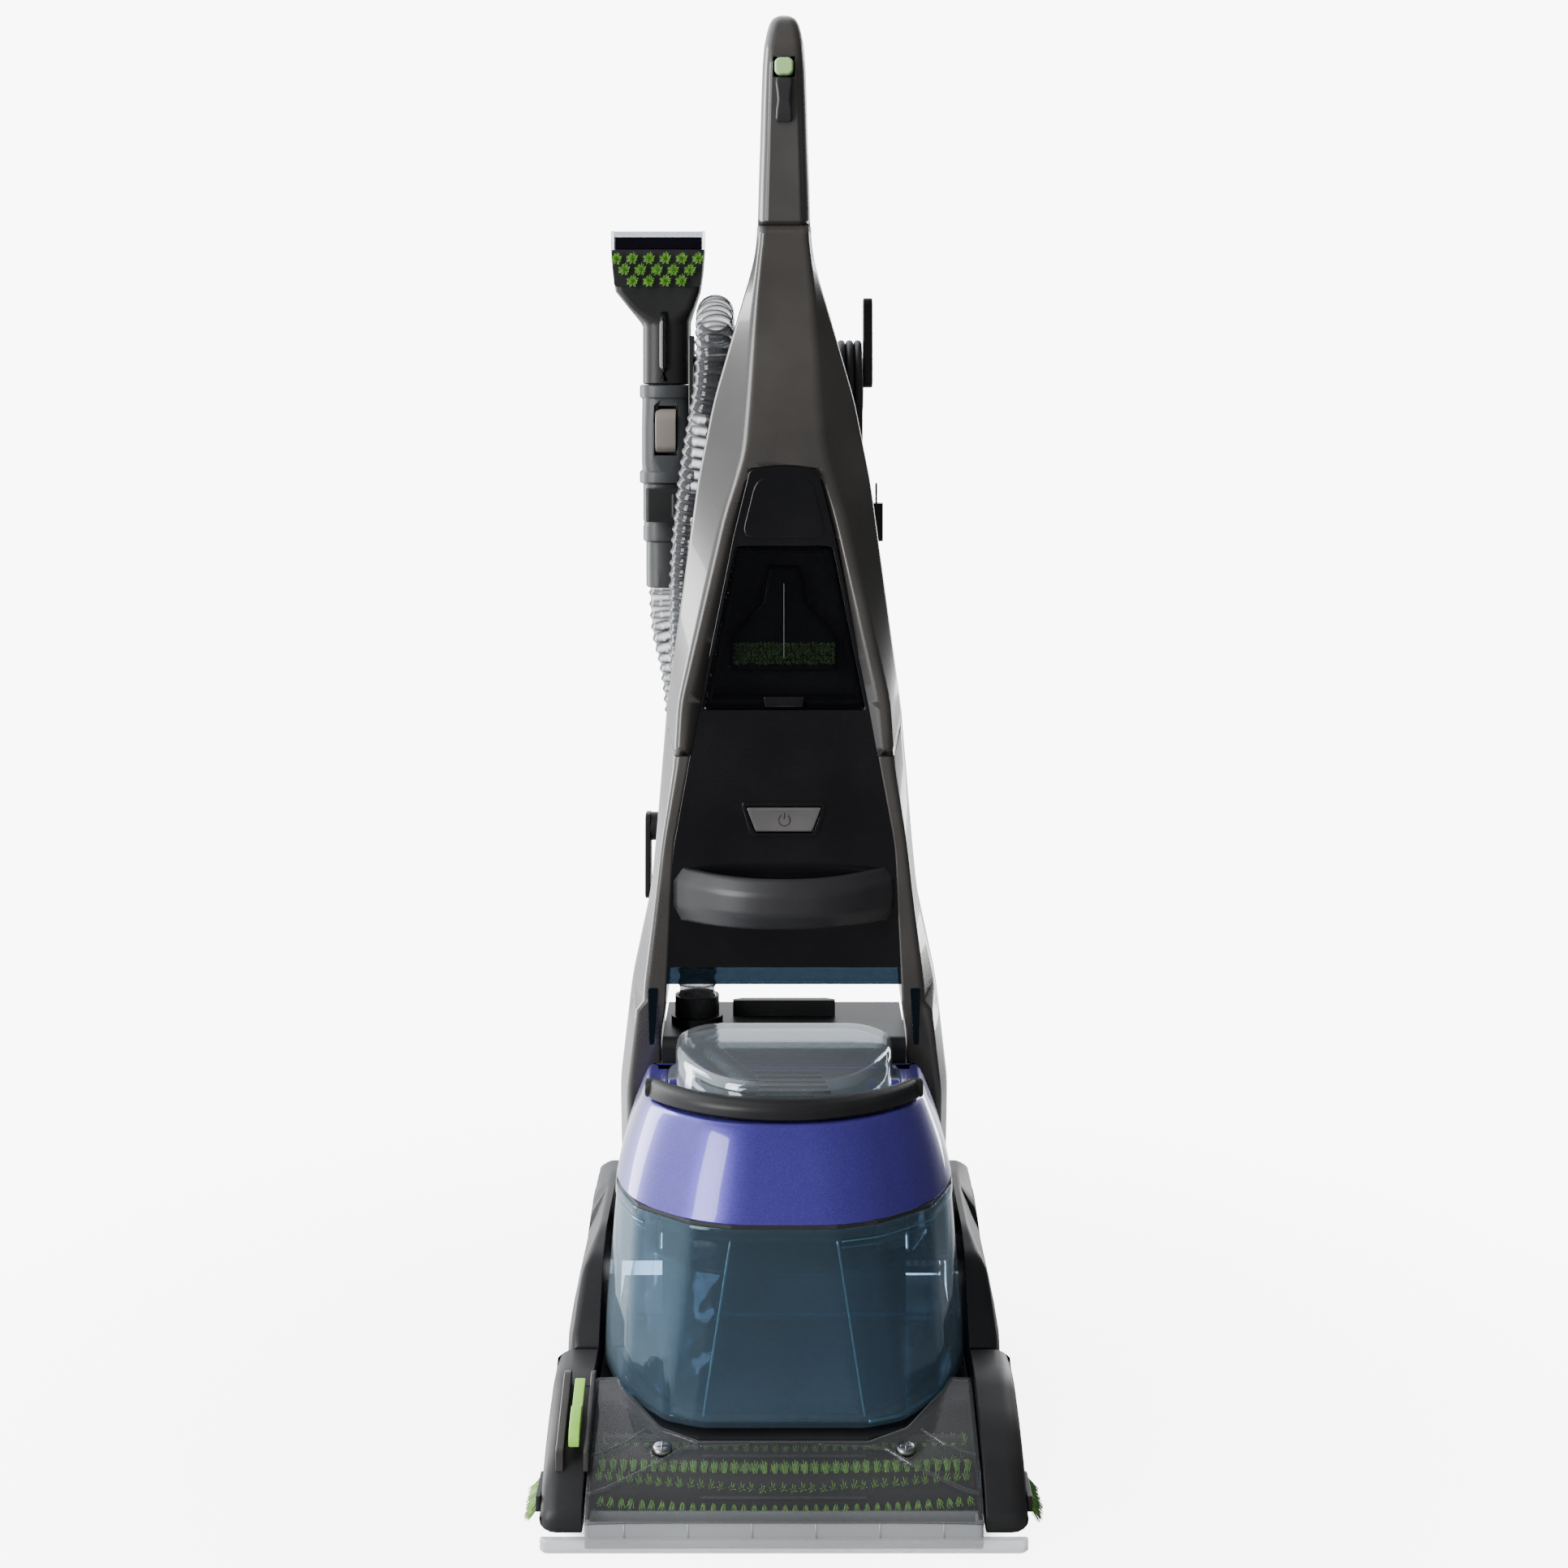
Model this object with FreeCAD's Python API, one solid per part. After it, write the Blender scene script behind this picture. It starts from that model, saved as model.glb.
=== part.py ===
"""Upright carpet cleaner: one STEP file per separate piece, in millimetres.

The machine stands on the plane Z = 0 with its front facing -Y and +X to its right.
The origin is under the middle of the machine's box, without the hose and power cord.
"""
import math
import os

import FreeCAD
import Part

Vector = FreeCAD.Vector

# ---- driving dimensions -------------------------------------------------------------
DEPTH = 470.0                 # front lip to the back of the wheels
FRONT_Y = -DEPTH / 2
CLEANING_HALF_WIDTH = 138.0   # hood, chassis and brush rolls
CAP_IN, CAP_OUT = 139.0, 169.0   # end caps, and the fenders' inner face
WALL = 3.0                    # moulded plastic shells
GAP = 0.3                     # between pieces that move past each other
FIT = 0.05                    # radial running clearance of a shaft in its hole

PIVOT_Y, PIVOT_Z = 135.0, 100.0        # the upright leans back about this line
HUB_RADIUS, PIVOT_PIN_RADIUS = 28.0, 9.0
RAIL_IN, RAIL_OUT = 103.0, 136.0       # the rails at the pivot
AXLE_RADIUS = 5.0
WHEEL_Y, WHEEL_RADIUS = 178.0, 57.0
WHEEL_IN, WHEEL_OUT = 140.0, 162.0
HOUSING_HALF_WIDTH, HOUSING_TOP = 97.0, 277.0
HOUSING_FRONT_Y = 44.0
HOUSING_BACK_Y, HOUSING_BOTTOM = 215.0, 24.0
PEDAL_Y, PEDAL_Z = 202.0, 36.5
HINGE_PIN_RADIUS = 2.5         # pedal and tank handle
CHASSIS_BOTTOM, CHASSIS_TOP, CHASSIS_FRONT_Y = 10.0, 54.0, -112.0

ROLL_Z = 21.5
ROLL_CORE_RADIUS, ROLL_CORE_END = 12.0, 134.0
JOURNAL_RADIUS = 4.0           # brush rolls and motor shafts
TUFT_ROWS, TUFT_RING = 6, 16.0
ROLL_YS = (-186.0, -140.0)
PULLEY_RADIUS = 12.0
MOTOR_Y, MOTOR_Z = -90.0, 34.0
BELT_IN, BELT_OUT = 145.0, 151.0

TANK_BOTTOM, TANK_TOP = 57.0, 195.0
LID_BOTTOM, LID_TOP = 198.0, 260.0
TANK_BACK_Y = 38.0
BAIL_Y, BAIL_Z, BAIL_PIN_END = -58.0, 268.0, 103.0
COLLAR_X, COLLAR_Y, COLLAR_TOP = -71.0, 97.0, 299.0
MOTOR_CENTRE_Y = 128.0         # vacuum motor and impeller

UPRIGHT_FRONT_Y = 45.0
BODY_BOTTOM, FASCIA_BOTTOM = 319.0, 333.0
SHELL_BOTTOM, FASCIA_TOP = 516.0, 539.0
COVER_TOP, BADGE_BOTTOM, BADGE_TOP = 668.0, 678.0, 729.0
HINGE_BARREL_RADIUS, HINGE_BARREL_HALF = 0.9, 30.0
HANDLE_BOTTOM, MACHINE_TOP = 926.0, 1100.0
SHELL_SPLIT_Y = 85.0
SPINE_HALF_WIDTH, SPINE_BACK_Y = 28.0, 188.0

HOSE_RADIUS = 16.0
CLIP_X, CLIP_Y, CLIP_LOW, CLIP_HIGH = -47.0, 208.0, 590.0, 612.0
WAND_X, WAND_Y = -101.0, 211.0
CORD_RADIUS = 3.5
CORD_POST_Y, CORD_POST_TOP, CORD_POST_LOW = 176.0, 793.0, 520.0
CORD_HOOK_PIN_RADIUS = 4.0
HANK_INNER, HANK_OUTER = 20.3, 41.0
HANK_X = (45.0, 66.0)

pieces = {}


# ---- helpers ------------------------------------------------------------------------
def box(x, y, z):
    """A box from three (low, high) pairs."""
    corner = Vector(x[0], y[0], z[0])
    return Part.makeBox(x[1] - x[0], y[1] - y[0], z[1] - z[0], corner)


def cylinder(radius, start, end):
    """A cylinder between two points."""
    start, end = Vector(*start), Vector(*end)
    return Part.makeCylinder(radius, (end - start).Length, start, end - start)


def cone(radius_start, radius_end, start, end):
    """A cone between two points."""
    start, end = Vector(*start), Vector(*end)
    return Part.makeCone(radius_start, radius_end, (end - start).Length, start, end - start)


def place(axis, u, v, along):
    """A point from two coordinates in the plane across an axis and one along it."""
    if axis == "x":
        return Vector(along, u, v)
    if axis == "y":
        return Vector(u, along, v)
    return Vector(u, v, along)


def prism(axis, outline, start, end):
    """A straight prism along an axis; a bare outline point is a corner."""
    wire = Part.makePolygon([place(axis, u, v, start) for u, v in outline + outline[:1]])
    return Part.Face(wire).extrude(place(axis, 0, 0, end - start))


def rounded_prism(axis, outline, start, end, radius):
    """A prism whose corners are arcs of one radius."""
    shape = prism(axis, outline, start, end)
    direction = place(axis, 0, 0, 1)
    lengthwise = []
    for edge in shape.Edges:
        run = (edge.Vertexes[-1].Point - edge.Vertexes[0].Point).normalize()
        if abs(abs(run.dot(direction)) - 1) < 1e-6:
            lengthwise.append(edge)
    return shape.makeFillet(radius, lengthwise)


def flat_face(*points):
    """A flat face round the points."""
    return Part.Face(Part.makePolygon(list(points) + [points[0]]))


def loft(sections):
    """A flat-faced solid through (height, outline) sections across Z."""
    rings = [[Vector(u, v, height) for u, v in outline] for height, outline in sections]
    faces = [flat_face(*rings[0]), flat_face(*rings[-1])]
    for low, high in zip(rings, rings[1:]):
        for i in range(len(low)):
            a, b, c, d = low[i - 1], low[i], high[i], high[i - 1]
            faces.append(flat_face(a, b, c))
            faces.append(flat_face(a, c, d))
    solid = Part.Solid(Part.Shell(faces))
    if solid.Volume < 0:
        solid.reverse()
    return solid


def inset(outline, distance):
    """A convex outline moved inwards by a distance, corner for corner."""
    count = len(outline)
    after_points = outline[1:] + outline[:1]
    area = sum(a[0] * b[1] - b[0] * a[1] for a, b in zip(outline, after_points))
    side = 1.0 if area > 0 else -1.0
    moved = []
    for i in range(count):
        before, here, after = outline[i - 1], outline[i], outline[(i + 1) % count]
        normals = []
        for a, b in ((before, here), (here, after)):
            length = math.hypot(b[0] - a[0], b[1] - a[1])
            normals.append((-(b[1] - a[1]) / length * side, (b[0] - a[0]) / length * side))
        cosine = 1 + normals[0][0] * normals[1][0] + normals[0][1] * normals[1][1]
        moved.append((here[0] + distance * (normals[0][0] + normals[1][0]) / cosine,
                      here[1] + distance * (normals[0][1] + normals[1][1]) / cosine))
    return moved


def between(table, height):
    """A value read from a list of (height, value) rows."""
    for (low, a), (high, b) in zip(table, table[1:]):
        if low <= height <= high:
            return a + (b - a) * (height - low) / (high - low)
    return table[0][1] if height < table[0][0] else table[-1][1]


def keep(name, shape):
    """File a piece under its name."""
    pieces[name] = shape


def fused(*shapes):
    """The shapes joined into one."""
    result = shapes[0]
    for shape in shapes[1:]:
        result = result.fuse(shape)
    return result.removeSplitter()


def both_sides(shape):
    """The shape and its mirror image across X = 0."""
    return [shape, shape.mirror(Vector(0, 0, 0), Vector(1, 0, 0))]


def tube(name, route, radius):
    """A tube along straight runs joined by tangent arcs, with its tightest arc printed."""
    points = [Vector(*p) for p in route]
    edges, start, tightest = [], points[0], 1e9
    for before, corner, after in zip(points, points[1:], points[2:]):
        back, ahead = before - corner, after - corner
        shorter = min(back.Length, ahead.Length)
        back_unit, ahead_unit = Vector(back).normalize(), Vector(ahead).normalize()
        turn = math.pi - back_unit.getAngle(ahead_unit)
        reach = 0.45 * shorter
        arc_radius = reach / math.tan(turn / 2)
        tightest = min(tightest, arc_radius)
        arc_start, arc_end = corner + back_unit * reach, corner + ahead_unit * reach
        bisector = (back_unit + ahead_unit).normalize()
        middle_distance = arc_radius / math.cos(turn / 2) - arc_radius
        edges.append(Part.LineSegment(start, arc_start).toShape())
        edges.append(Part.Arc(arc_start, corner + bisector * middle_distance, arc_end).toShape())
        start = arc_end
    edges.append(Part.LineSegment(start, points[-1]).toShape())
    path = Part.Wire(edges)
    direction = (points[1] - points[0]).normalize()
    section = Part.Wire([Part.makeCircle(radius, points[0], direction)])
    solid = path.makePipeShell([section], True, False)
    expected = math.pi * radius ** 2 * path.Length
    print("%-16s length %.0f  tightest arc %.1f  volume ratio %.4f"
          % (name, path.Length, tightest, solid.Volume / expected))
    return solid


# ---- base ---------------------------------------------------------------------------
def tank_outline(height, margin=0.0):
    """The tank's plan at a height: flat front, two facets a side, straight flanks."""
    rise = (height - TANK_BOTTOM) / (TANK_TOP - TANK_BOTTOM)
    half = [(60 - 22 * rise, -173 + 16 * rise), (88 - 20 * rise, -160 + 14 * rise),
            (118 - 10 * rise, -119 + 8 * rise), (138 - 11 * rise, -60 + 2 * rise),
            (138 - 11 * rise, TANK_BACK_Y)]
    outline = half + [(-x, y) for x, y in reversed(half)]
    return inset(outline, -margin) if margin else outline


def hood_outline():
    """Side view of the hood's outer skin, from the front lip to the chassis."""
    return [(FRONT_Y + 3, 20), (-215, 34), (-195, 45), (-173, 53), (-140, 64), (-112, 72)]


def make_chassis():
    """The base's floor: brush chamber, tray, deck under the tank and the pedal's lugs."""
    half = CLEANING_HALF_WIDTH
    inner_half = half - WALL
    floor_z = (CHASSIS_BOTTOM, HOUSING_BOTTOM)
    shell = box((-half, half), (CHASSIS_FRONT_Y, HOUSING_FRONT_Y - 1), (CHASSIS_BOTTOM, CHASSIS_TOP))
    shell = shell.cut(box((-inner_half, inner_half), (CHASSIS_FRONT_Y + WALL, HOUSING_FRONT_Y - 4),
                          (CHASSIS_BOTTOM + WALL, CHASSIS_TOP - 4)))
    tray = box((-half, half), (HOUSING_FRONT_Y - 1, HOUSING_BACK_Y + 5), floor_z)
    tray = tray.cut(box((-inner_half, inner_half), (HOUSING_FRONT_Y + 4, HOUSING_BACK_Y + 2),
                        (CHASSIS_BOTTOM + WALL, HOUSING_BOTTOM - WALL)))
    deck_z = (CHASSIS_TOP - 6, CHASSIS_TOP)
    deck = prism("z", tank_outline(TANK_BOTTOM, 1.0), *deck_z)
    deck = deck.common(box((-half, half), (-200, CHASSIS_FRONT_Y), deck_z))
    lugs = [box(x, (PEDAL_Y - 6, PEDAL_Y + 6), (20, PEDAL_Z + 6)) for x in ((97.3, 100.4), (134.6, 137.7))]
    chassis = fused(shell, tray, deck, *lugs)
    pin_hole = cylinder(HINGE_PIN_RADIUS + FIT, (97, PEDAL_Y, PEDAL_Z), (138, PEDAL_Y, PEDAL_Z))
    shaft_hole = cylinder(JOURNAL_RADIUS + 2, (0, MOTOR_Y, MOTOR_Z), (half + 1, MOTOR_Y, MOTOR_Z))
    keep("base_chassis", chassis.cut(pin_hole).cut(shaft_hole))


def make_housing():
    """The motor housing, its air vents, the pivot pins and the wheels on their axles."""
    profile = [(HOUSING_FRONT_Y, HOUSING_BOTTOM), (HOUSING_BACK_Y, HOUSING_BOTTOM),
               (HOUSING_BACK_Y, 180), (176, 262), (160, HOUSING_TOP), (HOUSING_FRONT_Y, HOUSING_TOP)]
    width = HOUSING_HALF_WIDTH
    housing = rounded_prism("x", profile, -width, width, 8)
    housing = housing.cut(prism("x", inset(profile, WALL), -width + WALL, width - WALL))
    ribs = [box((-42 + 2 * i, 42 - 2 * i), (112 + 9 * i, 117 + 9 * i), (HOUSING_TOP, 290 - 2 * i))
            for i in range(4)]
    housing = fused(housing, *ribs)
    for middle in (-50, 50):
        for i in range(6):
            slot_z = (60 + 14 * i, 66 + 14 * i)
            housing = housing.cut(box((middle - 26, middle + 26), (200, 220), slot_z))
    keep("base_housing", housing)

    pin = cylinder(PIVOT_PIN_RADIUS, (width, PIVOT_Y, PIVOT_Z), (CAP_IN, PIVOT_Y, PIVOT_Z))
    keep("pivot_pins", Part.Compound(both_sides(pin)))

    def on_axle(radius, start, end):
        return cylinder(radius, (start, WHEEL_Y, WHEEL_RADIUS), (end, WHEEL_Y, WHEEL_RADIUS))

    axle = on_axle(AXLE_RADIUS, width, WHEEL_OUT + 1)
    keep("wheel_axles", Part.Compound(both_sides(axle)))
    rim_radius, shoulder = WHEEL_RADIUS - 4, 4
    shoulders = [Part.makeTorus(rim_radius, shoulder, Vector(x, WHEEL_Y, WHEEL_RADIUS), Vector(1, 0, 0))
                 for x in (WHEEL_IN + shoulder, WHEEL_OUT - shoulder)]
    wheel = fused(on_axle(rim_radius, WHEEL_IN, WHEEL_OUT),
                  on_axle(WHEEL_RADIUS, WHEEL_IN + shoulder, WHEEL_OUT - shoulder), *shoulders)
    wheel = wheel.cut(on_axle(36, WHEEL_OUT - 7, WHEEL_OUT + 1))
    wheel = wheel.fuse(on_axle(12, WHEEL_OUT - 8, WHEEL_OUT - 1))
    wheel = wheel.cut(on_axle(AXLE_RADIUS + FIT, WHEEL_IN - 1, WHEEL_OUT + 1))
    right, left = both_sides(wheel)
    keep("right_wheel", right)
    keep("left_wheel", left)


def make_sides():
    """Fenders, end caps, the mode selector and the edge brushes."""
    side = [(-68, 10), (108, 10), (120, 40), (214, 119), (196, 133), (150, 137), (20, 137),
            (-22, 126), (-68, 76)]
    arch = cylinder(WHEEL_RADIUS + 4, (130, WHEEL_Y, WHEEL_RADIUS), (170, WHEEL_Y, WHEEL_RADIUS))
    front = [(CAP_IN, 10), (160, 10), (164, 75), (157, 124), (150, 137), (CAP_IN, 137)]
    fender = prism("x", side, CAP_IN, 165).common(prism("y", front, -70, 236))
    inner = prism("x", inset(side[:2] + [(120, 137)] + side[6:], WALL), CAP_IN - 1, 165)
    inner_front = [(138, 13), (157, 13), (161, 75), (154, 122), (148, 134), (138, 134)]
    inner = inner.common(prism("y", inner_front, -70, 236))
    fender = fender.cut(inner.common(box((138, 165), (-70, 104), (0, 140)))).cut(arch)
    right, left = both_sides(fender)
    keep("right_fender", right)
    keep("left_fender", left)

    side = [(FRONT_Y + 7, 9.5), (-70, 9.5), (-70, 76), (-118, 76), (-168, 62), (-205, 44), (FRONT_Y + 7, 22)]
    front = [(CAP_IN, 8), (CAP_OUT, 8), (CAP_OUT, 50), (165, 66), (156, 77), (CAP_IN, 77)]
    cap = prism("x", side, CAP_IN, CAP_OUT).common(prism("y", front, -240, -60))
    open_below = 5
    hollow_side = [(y, z if z > 13 else open_below) for y, z in inset(side, WALL)]
    hollow_front = [(x, z if z > 13 else open_below) for x, z in inset(front, WALL)]
    hollow = prism("x", hollow_side, CAP_IN + WALL, CAP_OUT - WALL)
    cap = cap.cut(hollow.common(prism("y", hollow_front, -240, -60)))
    for y in ROLL_YS:
        cap = cap.cut(cylinder(JOURNAL_RADIUS + FIT, (138, y, ROLL_Z), (142.5, y, ROLL_Z)))
    cap = cap.cut(cylinder(JOURNAL_RADIUS + 2, (138, MOTOR_Y, MOTOR_Z), (142.5, MOTOR_Y, MOTOR_Z)))
    right, left = both_sides(cap)
    slope = [(-196, 46), (-128, 70), (-128, 83), (-134, 84), (-200, 59)]
    track = prism("x", slope, -160, -134)
    channel = prism("x", [(-200, 56), (-128, 82), (-128, 90), (-200, 66)], -153, -141)
    keep("right_end_cap", right)
    track = track.common(box((-160, -CAP_IN), (-200, -120), (40, 90)))
    keep("left_end_cap", left.fuse(track).cut(channel).removeSplitter())
    lever_outline = [(-188, 61), (-140, 78.3), (-140, 84), (-166, 75), (-170, 79), (-186, 74)]
    lever = prism("x", lever_outline, -151, -143)
    keep("mode_selector", lever)

    tufts = []
    for i in range(3):
        y = -205 + 12 * i
        tufts.append(cone(3, 5, (171.5, y, 24), (176, y - 1, 15)))
    tufts.append(box((169.2, 172), (-212, -174), (20, 30)))
    edge = fused(*tufts).cut(box((160, 169.2), (-220, -160), (0, 60)))
    keep("edge_brushes", Part.Compound(both_sides(edge)))


def make_hood():
    """The clear brush hood, its screws and the suction nozzle in front of it."""
    half = CLEANING_HALF_WIDTH
    outer = hood_outline()
    skin = outer + [(y + (1.0 if z > 30 else 2.5), z - 2.7) for y, z in reversed(outer)]
    hood = prism("x", skin, -half + 0.3, half - 0.3)
    hood = hood.cut(prism("z", tank_outline(TANK_BOTTOM, 3.0), 30, 120))
    hood = hood.cut(box((-half, half), (FRONT_Y, -211), (0, 19.2)))
    screws = [cylinder(7, (x, -184, 44.5), (x, -184, 54)) for x in (-86, 86)]
    keep("brush_hood", hood.cut(Part.Compound(screws)))
    keep("hood_screws", Part.Compound(screws))

    nozzle = box((-half + 0.3, half - 0.3), (FRONT_Y + 4, -212), (1.5, 19))
    nozzle = nozzle.cut(box((-half + 4, half - 4), (FRONT_Y + 6.5, -214.5), (0, 16)))
    lip = rounded_prism("z", [(-165, FRONT_Y), (165, FRONT_Y), (168, FRONT_Y + 5), (-168, FRONT_Y + 5)],
                        0, 9, 1.2)
    keep("suction_nozzle", fused(nozzle, lip, box((-165, 165), (FRONT_Y + 3, FRONT_Y + 6), (0, 9))))


def make_drive():
    """Brush rolls, their motor and belt, the pump, the spray bar and the vacuum motor."""
    pulley_x = (BELT_IN - 1.5, BELT_OUT + 1.5)
    for name, y in zip(("front_brush_roll", "rear_brush_roll"), ROLL_YS):
        core = fused(cylinder(ROLL_CORE_RADIUS, (-ROLL_CORE_END, y, ROLL_Z), (ROLL_CORE_END, y, ROLL_Z)),
                     cylinder(JOURNAL_RADIUS, (-141.5, y, ROLL_Z), (pulley_x[0], y, ROLL_Z)),
                     cylinder(PULLEY_RADIUS, (pulley_x[0], y, ROLL_Z), (pulley_x[1], y, ROLL_Z)))
        rows = []
        for i in range(TUFT_ROWS):
            turn = 360 / TUFT_ROWS * i
            angle = math.radians(turn)
            centre = Vector(0, y + TUFT_RING * math.cos(angle), ROLL_Z + TUFT_RING * math.sin(angle))
            bar = Part.makeBox(260, 3.2, 9, Vector(-130, -1.6, -4.5))
            bar.rotate(Vector(0, 0, 0), Vector(1, 0, 0), turn - 90)
            bar.translate(centre)
            rows.append(bar)
        keep(name, fused(core, *rows))

    keep("brush_motor", fused(cylinder(15, (-50, MOTOR_Y, MOTOR_Z), (50, MOTOR_Y, MOTOR_Z)),
                              cylinder(JOURNAL_RADIUS, (50, MOTOR_Y, MOTOR_Z),
                                       (BELT_OUT + 2, MOTOR_Y, MOTOR_Z)),
                              box((-40, 40), (MOTOR_Y - 10, MOTOR_Y + 10), (13, 22))))
    pulley = cylinder(PULLEY_RADIUS, (pulley_x[0], MOTOR_Y, MOTOR_Z), (pulley_x[1], MOTOR_Y, MOTOR_Z))
    bore = cylinder(JOURNAL_RADIUS + FIT, (BELT_IN - 5, MOTOR_Y, MOTOR_Z), (BELT_OUT + 5, MOTOR_Y, MOTOR_Z))
    keep("motor_pulley", pulley.cut(bore))
    centres = [(ROLL_YS[0], ROLL_Z), (ROLL_YS[1], ROLL_Z), (MOTOR_Y, MOTOR_Z)]
    triangle = Part.makePolygon([Vector(BELT_IN, y, z) for y, z in centres + centres[:1]])
    outer = Part.Face(triangle.makeOffset2D(PULLEY_RADIUS + GAP + 2.0))
    inner = Part.Face(triangle.makeOffset2D(PULLEY_RADIUS + GAP))
    keep("drive_belt", outer.cut(inner).extrude(Vector(BELT_OUT - BELT_IN, 0, 0)))

    keep("water_pump", fused(box((-110, -60), (-60, 0), (13, 46)),
                             cylinder(6, (-60, -30, 30), (-46, -30, 30))))
    keep("spray_bar", box((-128, 128), (-161, -155), (44.2, 47.5)))

    def upright_drum(radius, low, high):
        return cylinder(radius, (0, MOTOR_CENTRE_Y, low), (0, MOTOR_CENTRE_Y, high))

    keep("vacuum_motor", fused(upright_drum(50, 120, 220), upright_drum(30, 220, 262),
                               upright_drum(JOURNAL_RADIUS, 84, 120)))
    keep("impeller", upright_drum(56, 92, 112).cut(upright_drum(JOURNAL_RADIUS + FIT, 80, 115)))


def make_fittings():
    """The hose collar on the housing and the recline pedal behind it."""
    def collar_drum(radius, low, high):
        return cylinder(radius, (COLLAR_X, COLLAR_Y, low), (COLLAR_X, COLLAR_Y, high))

    collar = fused(collar_drum(18, HOUSING_TOP, COLLAR_TOP), collar_drum(21, HOUSING_TOP, 283))
    keep("hose_collar", collar.cut(collar_drum(12, 281, COLLAR_TOP + 1)))
    pedal = prism("x", [(196, 33), (232, 36), (232, 42), (196, 40)], 101, 134)
    pedal_pin = cylinder(HINGE_PIN_RADIUS, (97.6, PEDAL_Y, PEDAL_Z), (137, PEDAL_Y, PEDAL_Z))
    keep("recline_pedal", fused(pedal, pedal_pin))


# ---- tank ---------------------------------------------------------------------------
def lid_outline(height, margin=0.0):
    """The lid's plan at a height, drawn in by a margin."""
    rise = (height - LID_BOTTOM) / (LID_TOP - LID_BOTTOM)
    half = [(38 - 8 * rise, -158 + 34 * rise), (69 - 14 * rise, -146 + 30 * rise),
            (109 - 20 * rise, -111 + 22 * rise), (128 - 21 * rise, -58 + 8 * rise),
            (128 - 21 * rise, TANK_BACK_Y)]
    outline = half + [(-x, y) for x, y in reversed(half)]
    return inset(outline, margin) if margin else outline


def arc_face(outer, inner, height):
    """A crescent between two three-point arcs."""
    a, b, c = (Vector(x, y, height) for x, y in outer)
    d, e, f = (Vector(x, y, height) for x, y in inner)
    edges = [Part.Arc(a, b, c).toShape(), Part.LineSegment(c, f).toShape(),
             Part.Arc(f, e, d).toShape(), Part.LineSegment(d, a).toShape()]
    return Part.Face(Part.Wire(edges))


def make_tank():
    """The tank with its bladder, lid, gasket, window, handle and float."""
    heights = (TANK_BOTTOM, TANK_TOP)
    outer = loft([(h, tank_outline(h)) for h in heights])
    hollow = loft([(TANK_BOTTOM + WALL, inset(tank_outline(TANK_BOTTOM + WALL), WALL)),
                   (TANK_TOP + 0.01, inset(tank_outline(TANK_TOP), WALL))])
    rim = loft([(h, inset(tank_outline(h), -1.2)) for h in (188, TANK_TOP)])
    rim = rim.cut(loft([(h, inset(tank_outline(h), 1)) for h in (187, 196)]))
    keep("tank_body", fused(outer.cut(hollow), rim))
    keep("bladder", loft([(TANK_BOTTOM + 4, inset(tank_outline(TANK_BOTTOM), 9)),
                          (110, inset(tank_outline(110), 7)), (158, inset(tank_outline(158), 16))]))

    outer = loft([(h, lid_outline(h)) for h in (LID_BOTTOM, LID_TOP)])
    hollow = loft([(LID_BOTTOM - 0.01, lid_outline(LID_BOTTOM, WALL)),
                   (LID_TOP - WALL, lid_outline(LID_TOP - WALL, WALL))])
    ears = []
    for side in (-1, 1):
        low, high = sorted((side * 81, side * 87))
        ears.append(box((low, high), (BAIL_Y - 4.5, BAIL_Y + 6), (LID_TOP - 1, BAIL_Z + 6)))
        ears.append(cylinder(HINGE_PIN_RADIUS, (side * 85, BAIL_Y, BAIL_Z),
                             (side * BAIL_PIN_END, BAIL_Y, BAIL_Z)))
    lid = fused(outer.cut(hollow), *ears)
    lid = lid.cut(box((-70, 60), (-70, 25), (LID_TOP - 4, LID_TOP + 1)))
    keep("tank_lid", lid)
    gasket = loft([(TANK_TOP + GAP, inset(tank_outline(TANK_TOP), 0.4)),
                   (LID_BOTTOM, inset(tank_outline(TANK_TOP), 0.4))])
    gasket = gasket.cut(loft([(TANK_TOP, inset(tank_outline(TANK_TOP), 3.2)),
                              (LID_BOTTOM + 1, inset(tank_outline(TANK_TOP), 3.2))]))
    keep("lid_gasket", gasket)

    def window(margin, low, drop):
        half = [(0, -98 + margin), (30 - margin, -94 + margin), (56 - margin, -80 + margin),
                (76 - margin, -50 + margin), (84 - margin, -20), (84 - margin, 16 - margin),
                (66 - margin, 36 - margin)]
        outline = half[1:] + [(-x, y) for x, y in reversed(half)]
        block = prism("z", outline[:-1] + [half[0]], low, 300)
        top = prism("x", [(-110, 280.6 - drop), (60, 295.6 - drop), (60, 310), (-110, 310)], -100, 100)
        return block.cut(top)

    keep("lid_window", window(0, LID_TOP, 0).cut(window(2.5, LID_TOP - 1, 2.5)))
    keep("lid_hose", cylinder(8.2, (-56, 20, 272), (-24, -58, 268.5)))

    bail_radius, bail_out, bail_in = 7, 105, 94
    face = arc_face([(-bail_out, BAIL_Y), (0, -123), (bail_out, BAIL_Y)],
                    [(-bail_in, BAIL_Y), (0, -104), (bail_in, BAIL_Y)], BAIL_Z - bail_radius)
    handle = face.extrude(Vector(0, 0, 2 * bail_radius))
    for side in (-1, 1):
        low, high = sorted((side * bail_in, side * bail_out))
        handle = handle.fuse(cylinder(bail_radius, (low, BAIL_Y, BAIL_Z), (high, BAIL_Y, BAIL_Z)))
        handle = handle.cut(cylinder(HINGE_PIN_RADIUS + FIT, (side * 85, BAIL_Y, BAIL_Z),
                                     (side * (BAIL_PIN_END + 0.4), BAIL_Y, BAIL_Z)))
    keep("tank_handle", handle.removeSplitter())

    keep("float_valve", cylinder(14.5, (86, -10, 170), (86, -10, 196)))


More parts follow.
